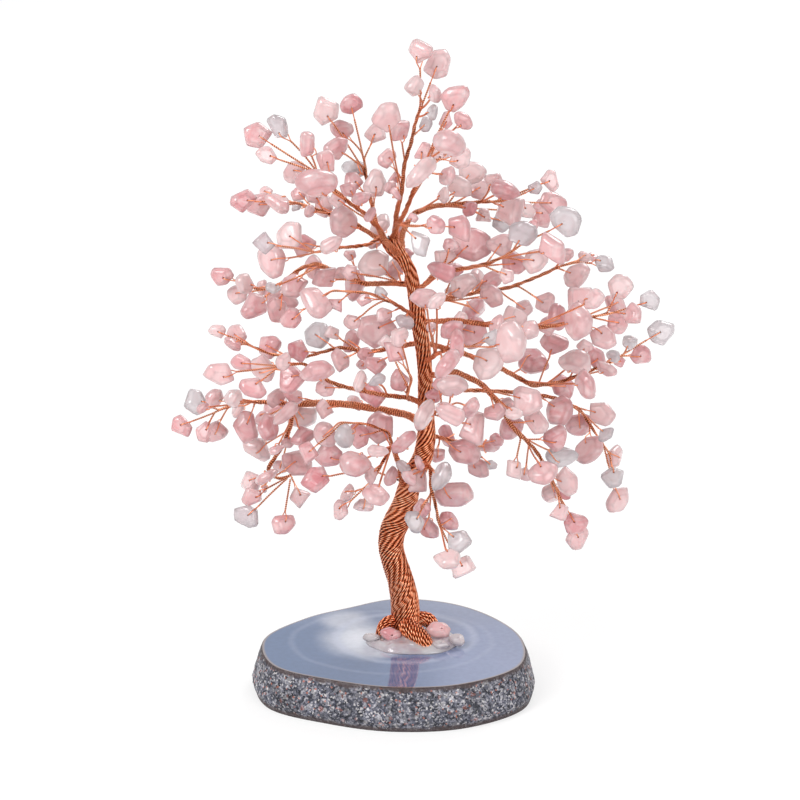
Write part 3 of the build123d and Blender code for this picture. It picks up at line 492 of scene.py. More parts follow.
def rounded(points, reach):
    """A line of places with each corner taken off in a short curve."""
    line = [points[0]]
    for before, corner, after in zip(points, points[1:], points[2:]):
        back = min(reach, size(span(before, corner)) / 2.5)
        on = min(reach, size(span(corner, after)) / 2.5)
        start = moved(corner, unit(span(corner, before)), back)
        end = moved(corner, unit(span(corner, after)), on)
        for share in (0.0, 0.25, 0.5, 0.75, 1.0):
            line.append(blend(blend(start, corner, share), blend(corner, end, share), share))
    return line + [points[-1]]


def spaced(points, step, beside=None):
    """Points at even distances along a line, those distances, and the same points of a line beside it."""
    points = np.array(points, float)
    along = np.concatenate(([0.0], np.cumsum(np.linalg.norm(np.diff(points, axis=0), axis=1))))
    distance = np.linspace(0.0, along[-1], max(3, ceil(along[-1] / step) + 1))
    even = []
    for line in [points] if beside is None else [points, beside]:
        even.append(np.stack([np.interp(distance, along, line[:, axis]) for axis in range(3)], axis=1))
    return even[0], distance, *even[1:]


def eased(line, times):
    """A line with its kinks worked out of it, its ends left where they are."""
    for k in range(times):
        line = np.concatenate([line[:1], (line[:-2] + 2 * line[1:-1] + line[2:]) / 4, line[-1:]])
    return line


def squared(line):
    """Directions along a line and two square to it, which turn no more than it does."""
    way = np.gradient(line, axis=0)
    way /= np.linalg.norm(way, axis=1)[:, None]
    across = np.empty_like(way)
    last = np.cross(way[0], odd_direction)
    for k, along in enumerate(way):
        last = last - along * np.dot(last, along)
        last = last / np.linalg.norm(last)
        across[k] = last
    return way, across, np.cross(way, across)


def turned_round(across, other, turn):
    """Directions square to a line, turned round it."""
    return across * np.cos(turn)[:, None] + other * np.sin(turn)[:, None]


class Skein:
    """Wires gathered into one mesh, each point carrying painted light: how open it lies to the light,
    painted into the copper's colour as shade or highlight.
    """

    def __init__(self):
        self.points, self.quads, self.openness, self.count = [], [], [], 0

    def add_rings(self, rings, openness):
        """A closed tube through rings of points."""
        ends = [np.repeat(rings[k].mean(axis=0)[None], len(rings[k]), axis=0)[None] for k in (0, -1)]
        openness = np.broadcast_to(openness, rings.shape[:2])
        rings = np.concatenate([ends[0], rings, ends[1]])
        index = self.count + np.arange(rings.shape[0] * rings.shape[1]).reshape(rings.shape[:2])
        self.points.append(rings.reshape(-1, 3))
        self.openness.append(np.concatenate([openness[:1], openness, openness[-1:]]).ravel())
        self.quads.append(ring_quads(index))
        self.count += index.size

    def add_wire(self, line, radius, sides, openness):
        """A plain round wire."""
        way, across, other = squared(line)
        angle = np.arange(sides) * 2 * pi / sides
        radius = np.broadcast_to(radius, len(line))[:, None, None]
        section = across[:, None] * np.cos(angle)[:, None] + other[:, None] * np.sin(angle)[:, None]
        self.add_rings(line[:, None] + radius * section, openness)

    def add_heart(self, core, radius, sides):
        """The heart of a thick bundle: a core wire painted dark as shade between the ropes."""
        self.add_wire(core[::heart_stride], radius[::heart_stride], sides, heart_painted_shade)

    def add_pair(self, line, distance, phase, thick=wire_radius, core=None, pitch=twist_pitch):
        """Two wires twisted together, with painted shade in the groove of each strand; on a bundle, painted
        shade on the side towards its core and painted highlight on its outer crest.
        """
        way, across, other = squared(line)
        angle = np.arange(strand_sides) * 2 * pi / strand_sides
        for strand in (0.0, pi):
            turn = 2 * pi * distance / pitch + phase + strand
            out, around = turned_round(across, other, turn), turned_round(other, -across, turn)
            section = out[:, None] * np.cos(angle)[:, None]
            section = section + around[:, None] * np.sin(angle)[:, None] * strand_stretch
            # Painted shade: each strand is darker on its side turned into the groove and brighter where it
            # faces out.
            openness = np.clip(crease_painted_shade_floor + (1 - crease_painted_shade_floor) * np.cos(angle), 0.0, 1.0)[None, :]
            if core is not None:
                # On a bundle, painted shade towards its core and painted highlight on its outer crest.
                reach = np.linalg.norm(line - core, axis=1)[:, None]
                outward = (line - core) / np.maximum(reach, wire_radius)
                offset = ((out[:, None] + section) @ outward[:, :, None])[..., 0] / bundle_crest
                painted_lit = np.clip(bundle_shade_share + offset * (1 - bundle_shade_share), 0.0, 1.0)
                openness = openness * (1 - np.minimum(1.0, reach / wire_radius) * (1 - painted_lit))
            self.add_rings((line + out * thick)[:, None] + section * thick, openness)

    def become(self, name, body, nodes):
        """Make the piece and let it stand for CAD nodes."""
        points, quads = np.concatenate(self.points), np.concatenate(self.quads)
        made = piece(name, points, quads, body, [copper], nodes)
        attribute(made, "openness", np.concatenate(self.openness))


# Trunk. The pairs of every branch run down it, laid round each other in a
# thick rope with a double bend above the foot. Its line has a pixel across, a
# pixel down, depth steps and radius. Its lay has distances up it and, for each,
# how steeply the pairs run there, in degrees.
depth_step = 1.7
trunk_line = (
    (407, 640, 2.1, 4.6), (406, 620, 2.1, 4.3), (404.5, 598, 1.9, 4.1), (400, 578, 1.6, 3.8),
    (394, 561, 1.3, 3.7), (390.3, 546, 1.1, 3.7), (392, 531, 0.9, 3.8), (398, 519, 0.7, 3.9),
    (405, 504, 0.5, 3.6), (409, 486, 0.3, 3.2), (415, 472, 0.2, 3.0), (423, 457, 0, 2.9),
    (426.5, 438, 0, 2.7), (426, 415, 0, 2.4), (425.5, 392, 0, 2.2), (425, 370, 0, 2.1),
    (423, 348, 0, 2.2), (419.5, 325, 0, 2.3), (415.5, 299, 0, 2.1), (411, 272, 0, 1.8),
    (402, 257, 0, 1.9), (392.5, 247, 0, 2.4), (388, 238, 0, 2.3),
)
trunk_ropes = 14
trunk_strand = 0.2
trunk_rope_depth = 1.6 * trunk_strand
trunk_heart_depth = 2.6 * trunk_strand
trunk_heart_sides = 28
trunk_pieces = 3
trunk_easing = 60
trunk_twist_pitch = -4.6
trunk_lay = (
    (0.0, 38.0), (10.0, 34.0), (18.0, 28.0), (28.0, 22.0), (40.0, 20.0), (50.0, 21.0), (63.0, 28.0),
    (78.0, 40.0), (94.0, 48.0), (132.0, 54.0),
)
foot_rope_rise = (13.0, 24.0)

trunk_axis = [place(across, down, depth * depth_step) for across, down, depth, radius in trunk_line]
trunk_radii = [radius for across, down, depth, radius in trunk_line]
trunk_axis[0] = (trunk_axis[0][0], trunk_axis[0][1], agate_thickness)
step = twist_pitch / steps_a_twist
core, core_along = spaced(trunk_axis, step)
core = eased(core, trunk_easing)
axis_runs = [size(span(a, b)) for a, b in zip(trunk_axis, trunk_axis[1:])]
core_radius = np.interp(core_along, np.concatenate(([0.0], np.cumsum(axis_runs))), trunk_radii)
way, across, other = squared(core)
steepness = np.radians(np.interp(core_along, *zip(*trunk_lay)))
turning = np.cumsum(np.gradient(core_along) / (core_radius * np.tan(steepness)))
ropes = [Skein() for k in range(trunk_pieces)]
draw = Random(random_seed)
ropes[0].add_heart(core, core_radius - trunk_heart_depth, trunk_heart_sides)
for k in range(2 * trunk_ropes):
    upper = k % 2 == 0
    buried = 0.0 if upper else np.interp(core_along, foot_rope_rise, (0.0, 2 * trunk_strand))
    out = turned_round(across, other, turning + pi * k / trunk_ropes)
    line = core + out * (core_radius - trunk_rope_depth - buried)[:, None]
    length = len(core) if upper else int(np.searchsorted(core_along, foot_rope_rise[1]))
    line, distance, inside = spaced(line[:length], step, core[:length])
    phase = draw.uniform(0, 2 * pi)
    ropes[k % trunk_pieces].add_pair(line, distance, phase, trunk_strand, inside, trunk_twist_pitch)
for k, rope in enumerate(ropes):
    rope.become("trunk_rope_" + str(k + 1), "tree", [] if k else ["trunk"])


# Roots. At the foot the pairs part into three curled bundles that end in the
# resin on the slice. A form has its line (x, y, height above the slice, radius)
# and the shares by which it is drawn in, lowered and thickened.
root_pairs = 11
root_strand = 0.2
root_heart_depth = 1.3 * pair_radius
root_heart_sides = 16
root_corner = 2.0
root_easing = 30
root_lay = 0.62
root_taper_from = 0.8
root_end_share = 0.5
root_run_share = 0.7
root_twist_pitch = -3.0
root_middle = (3.4, 1.2)
root_forms = {
    "root_left": (
        ((0.6, 3.4, 6.0, 1.2), (-2.4, 2.4, 6.6, 1.35), (-4.6, 0.6, 4.6, 1.3), (-4.9, -0.6, 2.0, 1.2)),
        0.12, 0.7, 1.6,
    ),
    "root_front": (
        ((3.2, 1.0, 5.4, 1.5), (4.6, -2.4, 4.8, 1.9), (6.6, -4.6, 3.2, 1.9), (8.2, -6.0, 1.7, 1.6)),
        -0.18, 0.8, 1.65,
    ),
    "root_right": (
        ((5.4, 4.2, 4.6, 1.3), (8.2, 4.0, 6.2, 1.5), (11.2, 3.4, 5.6, 1.5), (12.6, 2.4, 2.9, 1.3)),
        0.12, 0.84, 1.5,
    ),
}
for name, (line, pull_share, rise_share, swell_share) in root_forms.items():
    places = [(x, y, agate_thickness + rise_share * height) for x, y, height, radius in line]
    places = [(*blend((x, y, 0.0), (*root_middle, 0.0), pull_share)[:2], z) for x, y, z in places]
    places.append(moved(places[-1], span(places[-2], places[-1]), root_run_share))
    core, core_along = spaced(rounded(places, root_corner), step)
    core = eased(core, root_easing)
    shares = np.linspace(0, 1, len(core))
    radii = [entry[3] for entry in line] + [line[-1][3]]
    core_radius = swell_share * np.interp(shares, np.linspace(0, 1, len(radii)), radii)
    core_radius *= np.interp(shares, (root_taper_from, 1.0), (1.0, root_end_share))
    way, across, other = squared(core)
    rope = Skein()
    rope.add_heart(core, core_radius - root_heart_depth, root_heart_sides)
    for k in range(root_pairs):
        out = turned_round(across, other, core_along * root_lay + 2 * pi * k / root_pairs)
        strand, distance, inside = spaced(core + out * (core_radius - 2 * root_strand)[:, None], step, core)
        rope.add_pair(strand, distance, draw.uniform(0, 2 * pi), root_strand, inside, root_twist_pitch)
    rope.become(name + "_bundle", "tree", [name])


# Chips and their twigs. Each drilled chip hangs in a loop of wire whose ends
# are twisted into a pair; the pairs are twisted together into twigs, the twigs
# into limbs, and the limbs are laid into the trunk.
strand_offset = 1.1 * wire_radius
limb_room_radius = 0.9
fork_room = 1.5
foot_depth = 0.7
foot_clear = 2.6
hole_clearance = 0.27
least_chip_length = 4.2
chip_swell_share = 1.25
chip_width_shares = (0.78, 0.95)
chip_thickness_shares = (0.4, 0.5)
chip_corner_counts = (4, 5, 5, 6, 6, 7)
chip_corner_turn_share = 0.26
chip_corner_reach_shares = (0.9, 1.0)
chip_flat_shares = (0.58, 0.7)
chip_flat_shift_share = 0.05
chip_girdle_share = 0.13
hole_offset_share = 0.3
hole_wall = 0.3
chip_turn = 34.0
loop_clearance = 0.16
loop_reach_sizes = (0.9, 1.5)
loop_side_room = 0.25
stem_lean_share = 0.8
shortest_stem = 1.6
scatter_depth = 7.0
search_step = 1.3
search_count = 50
chip_room = 0.2
wire_room = 0.15
swing_room = 0.3
ball_neck = 1.9
swing_steps_shares = (-1.0, -0.5, 0.0, 0.5, 1.0)

# A limb is a list of (pixel across, pixel down, depth steps). A chip is a pixel
# across, a pixel down, a length in pixels and a tilt, with "c" where it is clear.
branches = {
    "crown_top": ([
        [(390, 243, 0), (396, 215, -1), (402, 190, -3), (404, 165, -3), (411, 143, -3)],
        [(390, 232, 0), (405, 212, -5), (418, 180, -9), (430, 150, -13), (446, 130, -14)],
        [(393, 223, -1), (401, 225, -9), (412, 226, -14)],
    ], [
        (400, 130, 24, -65), (387, 117, 32, 80), (387, 158, 20, 80), (394, 177, 14, 0), (390, 187, 16, 10),
        (396, 194, 13, 0), (455, 99, 24, 90), (463, 121, 19, -60), (446, 120, 16, 80), (451, 144, 34, 88),
        (461, 158, 22, 60), (423, 152, 20, 60), (440, 153, 24, 80), (447, 176, 18, 0), (421, 172, 36, 15),
        (413, 218, 12, 0), (420, 243, 28, -60, "c"), (436, 225, 19, -70), (460, 227, 26, 85),
    ]),
    "crown_left": ([
        [(397, 255, 0), (385, 241, -4), (376, 222, -3), (369, 192, 4), (364, 160, 8), (357, 138, 8)],
        [(381, 228, -3), (365, 214, -6), (349, 203, -8), (335, 190, -9), (322, 178, -9)],
    ], [
        (325, 111, 28, 60), (351, 104, 20, -20), (341, 129, 21, -40), (376, 133, 22, 0), (336, 148, 26, 30),
        (353, 169, 25, -15, "c"), (375, 183, 26, 85), (361, 198, 18, 0), (326, 161, 22, -60),
        (318, 182, 38, 30), (353, 182, 20, -20), (349, 190, 18, 0), (370, 215, 16, 0), (337, 200, 18, 20),
    ]),
    "crown_wing": ([
        [(390, 243, 0), (374, 236, 4), (350, 220, 5), (330, 214, 6), (310, 207, 6), (290, 200, 6),
         (275, 196, 6)],
        [(380, 240, 3), (368, 245, -3), (350, 247, -7), (325, 249, -8), (308, 258, -9), (292, 261, -9)],
    ], [
        (343, 222, 32, -70), (324, 206, 26, -20), (313, 194, 20, -60), (310, 211, 14, -20),
        (299, 193, 18, 0), (297, 205, 14, 0, "c"), (381, 224, 26, 80), (243, 201, 24, 5),
        (259, 204, 28, 35), (277, 203, 26, 0), (266, 192, 16, 0), (290, 236, 28, 60), (303, 246, 28, -30),
        (330, 245, 25, 0), (264, 243, 22, -30, "c"), (272, 262, 32, -75), (375, 245, 12, 0),
    ]),
    "crown_right": ([
        [(401, 256, 0), (402, 234, 4), (412, 214, 5), (432, 206, 5), (465, 203, 4), (500, 201, 3),
         (525, 196, 2)],
    ], [
        (398, 229, 24, -45), (459, 186, 26, 30), (444, 195, 16, 0), (471, 172, 24, -40), (480, 189, 22, 25),
        (494, 181, 20, 25), (505, 190, 28, -5), (470, 209, 18, 0), (483, 216, 18, 0), (511, 213, 34, -25),
        (503, 222, 24, 0, "c"), (526, 210, 20, -30), (535, 188, 14, 0, "c"), (551, 180, 20, 70),
        (552, 203, 26, -40), (541, 213, 26, 80),
    ]),
    "upper_right": ([
        [(414, 290, 0), (440, 272, -5), (468, 268, -8), (490, 263, -10), (510, 253, -11), (530, 239, -11)],
    ], [
        (567, 221, 30, -20, "c"), (523, 233, 30, 45, "c"), (533, 225, 10, 60), (501, 244, 24, 40),
        (472, 244, 38, 0), (451, 245, 16, 0), (446, 257, 22, 15), (441, 271, 28, -60), (515, 263, 28, 0),
        (535, 262, 25, 70), (552, 249, 34, -80), (507, 276, 16, 60),
    ]),
    "right_rise": ([
        [(416, 305, 0), (450, 298, 5), (480, 292, 8), (508, 288, 10), (535, 278, 12), (558, 267, 12),
         (578, 262, 12), (592, 263, 12)],
    ], [
        (545, 303, 20, 0), (524, 309, 20, -50), (577, 275, 30, 20), (566, 255, 16, 60), (463, 285, 26, 70),
        (453, 291, 16, 0), (478, 281, 26, 70), (492, 281, 22, 0), (492, 296, 22, 0), (455, 270, 16, 0),
        (475, 308, 32, -5), (585, 257, 14, 0), (593, 257, 13, 80), (605, 264, 22, -50, "c"),
    ]),
    "right_far": ([
        [(419, 322, 0), (455, 320, -4), (490, 325, -6), (525, 329, -7), (560, 325, -7), (590, 317, -7),
         (612, 313, -7), (630, 308, -7)],
    ], [
        (557, 317, 26, 75), (548, 326, 22, 0), (578, 322, 36, 40), (580, 298, 30, 15), (594, 300, 24, 40),
        (604, 338, 26, -50), (617, 323, 24, -30), (514, 318, 26, 0), (497, 325, 20, 60),
        (529, 330, 22, -30), (461, 320, 16, 80), (475, 333, 30, 35), (620, 287, 26, 45),
        (615, 304, 26, -10), (632, 315, 22, 0), (650, 301, 21, -60, "c"),
    ]),
    "right_sweep": ([
        [(423, 345, 0), (460, 352, 6), (500, 368, 9), (533, 386, 11), (562, 382, 11), (592, 370, 10)],
    ], [
        (555, 343, 28, 20), (575, 362, 34, 45), (585, 346, 16, 0), (596, 358, 24, -60), (607, 369, 21, 15),
        (563, 387, 28, 0), (585, 384, 30, -35), (533, 361, 34, -80),
    ]),
    "right_front": ([
        [(424, 360, 0), (440, 352, -8), (462, 346, -12), (490, 347, -15), (510, 350, -16)],
    ], [
        (457, 344, 28, 70), (452, 329, 24, 60), (447, 364, 30, 0), (488, 364, 32, 80),
        (491, 338, 16, 0, "c"), (511, 343, 40, 90), (425, 298, 28, 0), (437, 301, 20, 80),
        (432, 327, 10, 0),
    ]),
    "right_low": ([
        [(425, 375, 0), (455, 371, -4), (482, 384, -5), (498, 402, -6), (512, 427, -7), (533, 447, -7),
         (545, 465, -7)],
    ], [
        (495, 412, 22, 0), (508, 404, 16, 0), (514, 414, 16, 0), (512, 428, 28, -25), (527, 400, 32, -45),
        (537, 422, 26, -40), (556, 439, 28, -60), (561, 457, 32, -20, "c"), (543, 473, 27, 0),
        (514, 470, 22, -50), (525, 474, 18, 80),
    ]),
    "right_drop": ([
        [(426, 390, 0), (455, 390, 5), (490, 391, 9), (525, 393, 11), (555, 398, 12), (580, 409, 12),
         (600, 440, 11)],
    ], [
        (560, 411, 30, 70), (601, 414, 30, -40), (580, 424, 28, 80), (590, 450, 32, -20),
        (606, 434, 18, 60, "c"),
    ]),
    "low_right": ([
        [(427, 415, 0), (440, 409, -7), (458, 402, -11), (475, 410, -14)],
        [(427, 437, 0), (450, 440, 6), (475, 445, 10), (490, 450, 12)],
    ], [
        (452, 386, 30, 0), (441, 384, 18, 0), (434, 395, 18, 60), (471, 408, 22, 0), (449, 413, 32, -15),
        (424, 414, 30, 80), (475, 427, 34, 80), (447, 436, 26, -30), (465, 452, 30, -20),
        (487, 446, 26, 70), (497, 440, 14, 0), (478, 468, 22, 20), (491, 465, 11, 0, "c"),
        (437, 455, 18, 30),
    ]),
    "low_front": ([
        [(424, 459, 0), (431, 468, -5), (431, 490, -8), (436, 506, -8), (438, 520, -8)],
    ], [
        (403, 467, 16, 0, "c"), (441, 477, 28, -65, "c"), (453, 495, 38, 12), (422, 508, 18, 80),
        (428, 528, 26, 0), (414, 522, 20, 80, "c"), (419, 463, 16, 0), (418, 481, 24, -80),
        (409, 477, 17, 40),
    ]),
    "left_fork": ([
        [(409, 487, 0), (399, 464, -2), (392, 446, -3), (389, 432, -4), (366, 424, -6), (340, 422, -7),
         (318, 426, -7)],
        [(392, 446, -3), (384, 460, -7), (374, 479, -9), (360, 492, -9), (350, 499, -9)],
    ], [
        (404, 442, 28, 40), (380, 427, 30, -80), (358, 437, 24, 80), (345, 436, 26, 25, "c"),
        (325, 435, 25, 80), (329, 455, 26, -15), (307, 454, 22, 60), (316, 478, 26, 70), (355, 463, 34, 80),
        (370, 473, 20, -80), (377, 451, 20, 0), (347, 494, 20, 10), (340, 511, 19, 60), (363, 506, 20, 30),
        (376, 495, 30, 75), (391, 476, 19, -70),
    ]),
    "left_long": ([
        [(427, 426, 0), (409, 415, 4), (378, 409, 5), (346, 404, 7), (318, 403, 8), (292, 404, 9),
         (262, 402, 9)],
        [(292, 404, 9), (291, 427, 7), (282, 447, 5), (268, 468, 4)],
    ], [
        (268, 427, 28, 40), (355, 402, 20, 0), (324, 410, 20, 60), (303, 417, 30, 10), (285, 414, 30, 10),
        (275, 406, 26, 5), (262, 418, 18, 0), (275, 398, 20, 0), (293, 396, 20, 0), (288, 443, 14, 80),
        (302, 436, 26, 80), (257, 449, 30, -30), (276, 450, 16, 0), (281, 467, 18, 40),
    ]),
    "left_mid": ([
        [(426, 402, 0), (409, 398, -4), (382, 395, -5), (353, 389, -7), (331, 383, -8), (303, 363, -9),
         (278, 367, -10), (262, 374, -10)],
        [(409, 398, -4), (407, 395, -9), (412, 380, -12), (412, 362, -13)],
    ], [
        (372, 394, 28, -20), (360, 381, 22, 40), (377, 380, 16, 0, "c"), (325, 388, 20, 0),
        (317, 371, 32, 0), (290, 380, 30, 60), (283, 362, 18, 0), (262, 367, 32, 70), (241, 363, 20, 0),
        (252, 388, 24, 10), (219, 374, 28, 10), (399, 380, 24, -45), (394, 351, 24, -50), (400, 337, 22, 0),
        (386, 342, 18, 0),
    ]),
    "left_high": ([
        [(422, 343, 0), (398, 347, 4), (368, 352, 7), (340, 347, 8), (322, 352, 9), (302, 358, 9),
         (270, 354, 9), (248, 345, 9), (234, 339, 9)],
    ], [
        (268, 346, 30, -25), (298, 350, 26, -20), (316, 335, 30, -40, "c"), (332, 333, 16, 60),
        (351, 341, 24, 80), (340, 361, 22, 80), (362, 365, 12, 0), (365, 354, 16, 0), (375, 365, 22, -10),
        (217, 331, 17, 0), (236, 335, 26, -35), (233, 344, 18, -35),
    ]),
    "upper_left": ([
        [(417, 315, 0), (395, 304, -4), (368, 293, -6), (345, 291, -8), (322, 291, -9), (300, 296, -10)],
        [(413, 285, 0), (390, 283, 5), (365, 284, 7), (340, 275, 8), (318, 263, 9), (300, 268, 9),
         (285, 281, 9), (270, 288, 9), (256, 291, 9), (241, 287, 9)],
    ], [
        (376, 330, 36, -15), (384, 315, 18, 20), (352, 322, 16, 0), (316, 303, 34, -10), (336, 305, 16, 0),
        (291, 318, 22, 40), (277, 310, 26, -50), (280, 299, 36, 5), (295, 286, 28, 20), (364, 299, 16, 0),
        (381, 293, 12, 0, "c"), (375, 263, 30, 55), (397, 266, 32, 80), (407, 254, 14, 0),
        (355, 285, 30, 70), (350, 272, 16, 0), (340, 273, 14, 60), (350, 255, 12, 0), (313, 268, 24, 70),
        (325, 278, 28, 0), (405, 322, 18, 0, "c"), (222, 276, 22, 5), (237, 294, 24, -10),
        (245, 284, 22, -15), (254, 306, 28, 75), (262, 287, 16, 60), (273, 288, 15, 0, "c"),
    ]),
}

# Twigs that bend in the picture's plane at the end of a limb: limbs, chips,
# the limb that carries them (branch and number), and the range in degrees.
twigs = {
    "leader": ([
        [(411, 143, -3), (416, 120, -3), (424, 100, -4), (430, 84, -4)],
    ], [
        (420, 51, 24, 60), (438, 63, 28, 65), (415, 86, 22, 0), (435, 94, 18, 40), (433, 112, 17, 20, "c"),
        (426, 124, 14, 80, "c"),
    ], ("crown_top", 0), 12.0),
    "crown_left_tip": ([
        [(322, 178, -9), (310, 165, -9), (300, 155, -9)],
    ], [
        (257, 135, 27, -15), (278, 126, 25, -60, "c"), (266, 155, 20, 0), (294, 171, 24, 60),
        (307, 143, 27, -40),
    ], ("crown_left", 1), 12.0),
    "right_sweep_tip": ([
        [(592, 370, 10), (612, 361, 10), (632, 349, 10), (648, 339, 10)],
    ], [
        (662, 331, 28, 25, "c"), (630, 342, 18, 45, "c"), (641, 355, 22, -25), (613, 356, 14, 0, "c"),
        (620, 361, 14, 0),
    ], ("right_sweep", 0), 10.0),
    "right_low_hanging": ([
        [(545, 465, -7), (556, 488, -7), (566, 506, -7)],
    ], [
        (568, 482, 26, -50), (563, 494, 20, 0), (554, 493, 26, -60), (560, 513, 20, 80),
        (575, 524, 24, -50), (578, 537, 26, 60),
    ], ("right_low", 0), 12.0),
    "right_drop_tip": ([
        [(600, 440, 11), (609, 453, 11), (615, 468, 11)],
    ], [
        (614, 457, 22, -70), (614, 478, 25, 0, "c"), (618, 500, 27, 40),
    ], ("right_drop", 0), 14.0),
    "low_drop_tip": ([
        [(438, 520, -8), (443, 533, -8), (449, 547, -8)],
    ], [
        (449, 521, 22, -10), (459, 541, 26, -35, "c"), (448, 559, 26, 85), (462, 569, 26, 10),
    ], ("low_front", 0), 14.0),
    "left_tip_low": ([
        [(262, 402, 9), (240, 401, 9), (225, 408, 9), (203, 416, 9)],
    ], [
        (246, 428, 32, 80), (180, 426, 23, 0), (204, 432, 20, 60), (214, 432, 28, 60),
        (195, 402, 26, 90, "c"), (214, 398, 20, 10), (203, 408, 14, 0), (234, 398, 21, 0),
        (238, 409, 20, 0),
    ], ("left_long", 0), 10.0),
    "left_hanging": ([
        [(268, 468, 4), (272, 477, 4), (283, 479, 4), (291, 475, 4)],
        [(291, 475, 4), (285, 486, 4), (277, 493, 4)],
    ], [
        (297, 463, 30, 20), (251, 482, 26, 40), (266, 477, 24, 15), (251, 497, 21, 0),
        (247, 517, 26, -30, "c"), (283, 524, 24, 15), (300, 497, 24, 75), (264, 487, 10, 80),
    ], ("left_long", 1), 12.0),
}


def dot(a, b):
    """How far one way goes along another."""
    return a[0] * b[0] + a[1] * b[1] + a[2] * b[2]


def cross(a, b):
    """The way square to two others."""
    return (a[1] * b[2] - a[2] * b[1], a[2] * b[0] - a[0] * b[2], a[0] * b[1] - a[1] * b[0])


def nearest_gap(a, b, c, d):
    """Least distance between the straight runs a-b and c-d."""
    run, other, between = span(a, b), span(c, d), span(c, a)
    aa, cc, f = dot(run, run), dot(other, other), dot(other, between)
    g, h = dot(run, between), dot(run, other)
    spread = aa * cc - h * h
    s = min(1.0, max(0.0, (h * f - g * cc) / spread)) if spread > 0 else 0.0
    t = (h * s + f) / cc if cc > 0 else 0.0
    if t < 0 or t > 1:
        t = min(1.0, max(0.0, t))
        s = min(1.0, max(0.0, (h * t - g) / aa)) if aa > 0 else 0.0
    return size(span(moved(c, other, t), moved(a, run, s)))


class Rod:
    """A straight run with round ends: the room that a wire or a chip takes up."""

    def __init__(self, start, end, radius, owner, kind, swung=0.0, swings=False):
        self.start, self.end, self.radius = start, end, radius
        self.owner, self.kind = owner, kind
        self.swung, self.swings = swung, swings
        self.middle = blend(start, end, 0.5)
        self.reach = size(span(start, end)) / 2 + radius

    def clears(self, other, room):
        """True where so much room is left to another rod."""
        apart = size(span(self.middle, other.middle)) - self.reach - other.reach
        if apart > room:
            return True
        near = nearest_gap(self.start, self.end, other.start, other.end)
        return near - self.radius - other.radius >= room


def turned(point, pivot, angle):
    """A point turned about the front-to-back line through a pivot."""
    x, z = point[0] - pivot[0], point[2] - pivot[2]
    c, s = cos(radians(angle)), sin(radians(angle))
    return (pivot[0] + x * c + z * s, point[1], pivot[2] - x * s + z * c)


class Limb:
    """A bent run of bundled pairs, with the distances at which stems leave it."""

    def __init__(self, points, first, last):
        self.points = points
        self.lengths = [0.0]
        for a, b in zip(points, points[1:]):
            self.lengths.append(self.lengths[-1] + size(span(a, b)))
        self.first, self.last = first, self.lengths[-1] - last
        self.leaving = []

    def at(self, distance):
        """The place so far along the limb."""
        for k in range(len(self.points) - 1):
            if distance <= self.lengths[k + 1] or k == len(self.points) - 2:
                run = self.lengths[k + 1] - self.lengths[k]
                return blend(self.points[k], self.points[k + 1], (distance - self.lengths[k]) / run)

    def nearest(self, point):
        """Distance along the limb of its nearest point, and how near that is."""
        best = (0.0, size(span(self.points[0], point)))
        for k in range(len(self.points) - 1):
            run = span(self.points[k], self.points[k + 1])
            share = min(1.0, max(0.0, dot(span(self.points[k], point), run) / dot(run, run)))
            near = size(span(moved(self.points[k], run, share), point))
            if near < best[1]:
                best = (self.lengths[k] + share * size(run), near)
        return best


def trunk_seat(towards, start):
    """Where a limb's foot starts inside the trunk, near a place and facing another."""
    best = None
    for k in range(len(trunk_axis) - 1):
        run = span(trunk_axis[k], trunk_axis[k + 1])
        share = min(1.0, max(0.0, dot(span(trunk_axis[k], start), run) / dot(run, run)))
        spot = moved(trunk_axis[k], run, share)
        near = size(span(spot, start))
        if best is None or near < best[0]:
            radius = trunk_radii[k] + (trunk_radii[k + 1] - trunk_radii[k]) * share
            best = (near, spot, unit(run), radius)
    near, spot, along, radius = best
    facing = span(spot, towards)
    facing = unit(moved(facing, along, -dot(facing, along)))
    return moved(spot, facing, max(0.0, radius - foot_depth))


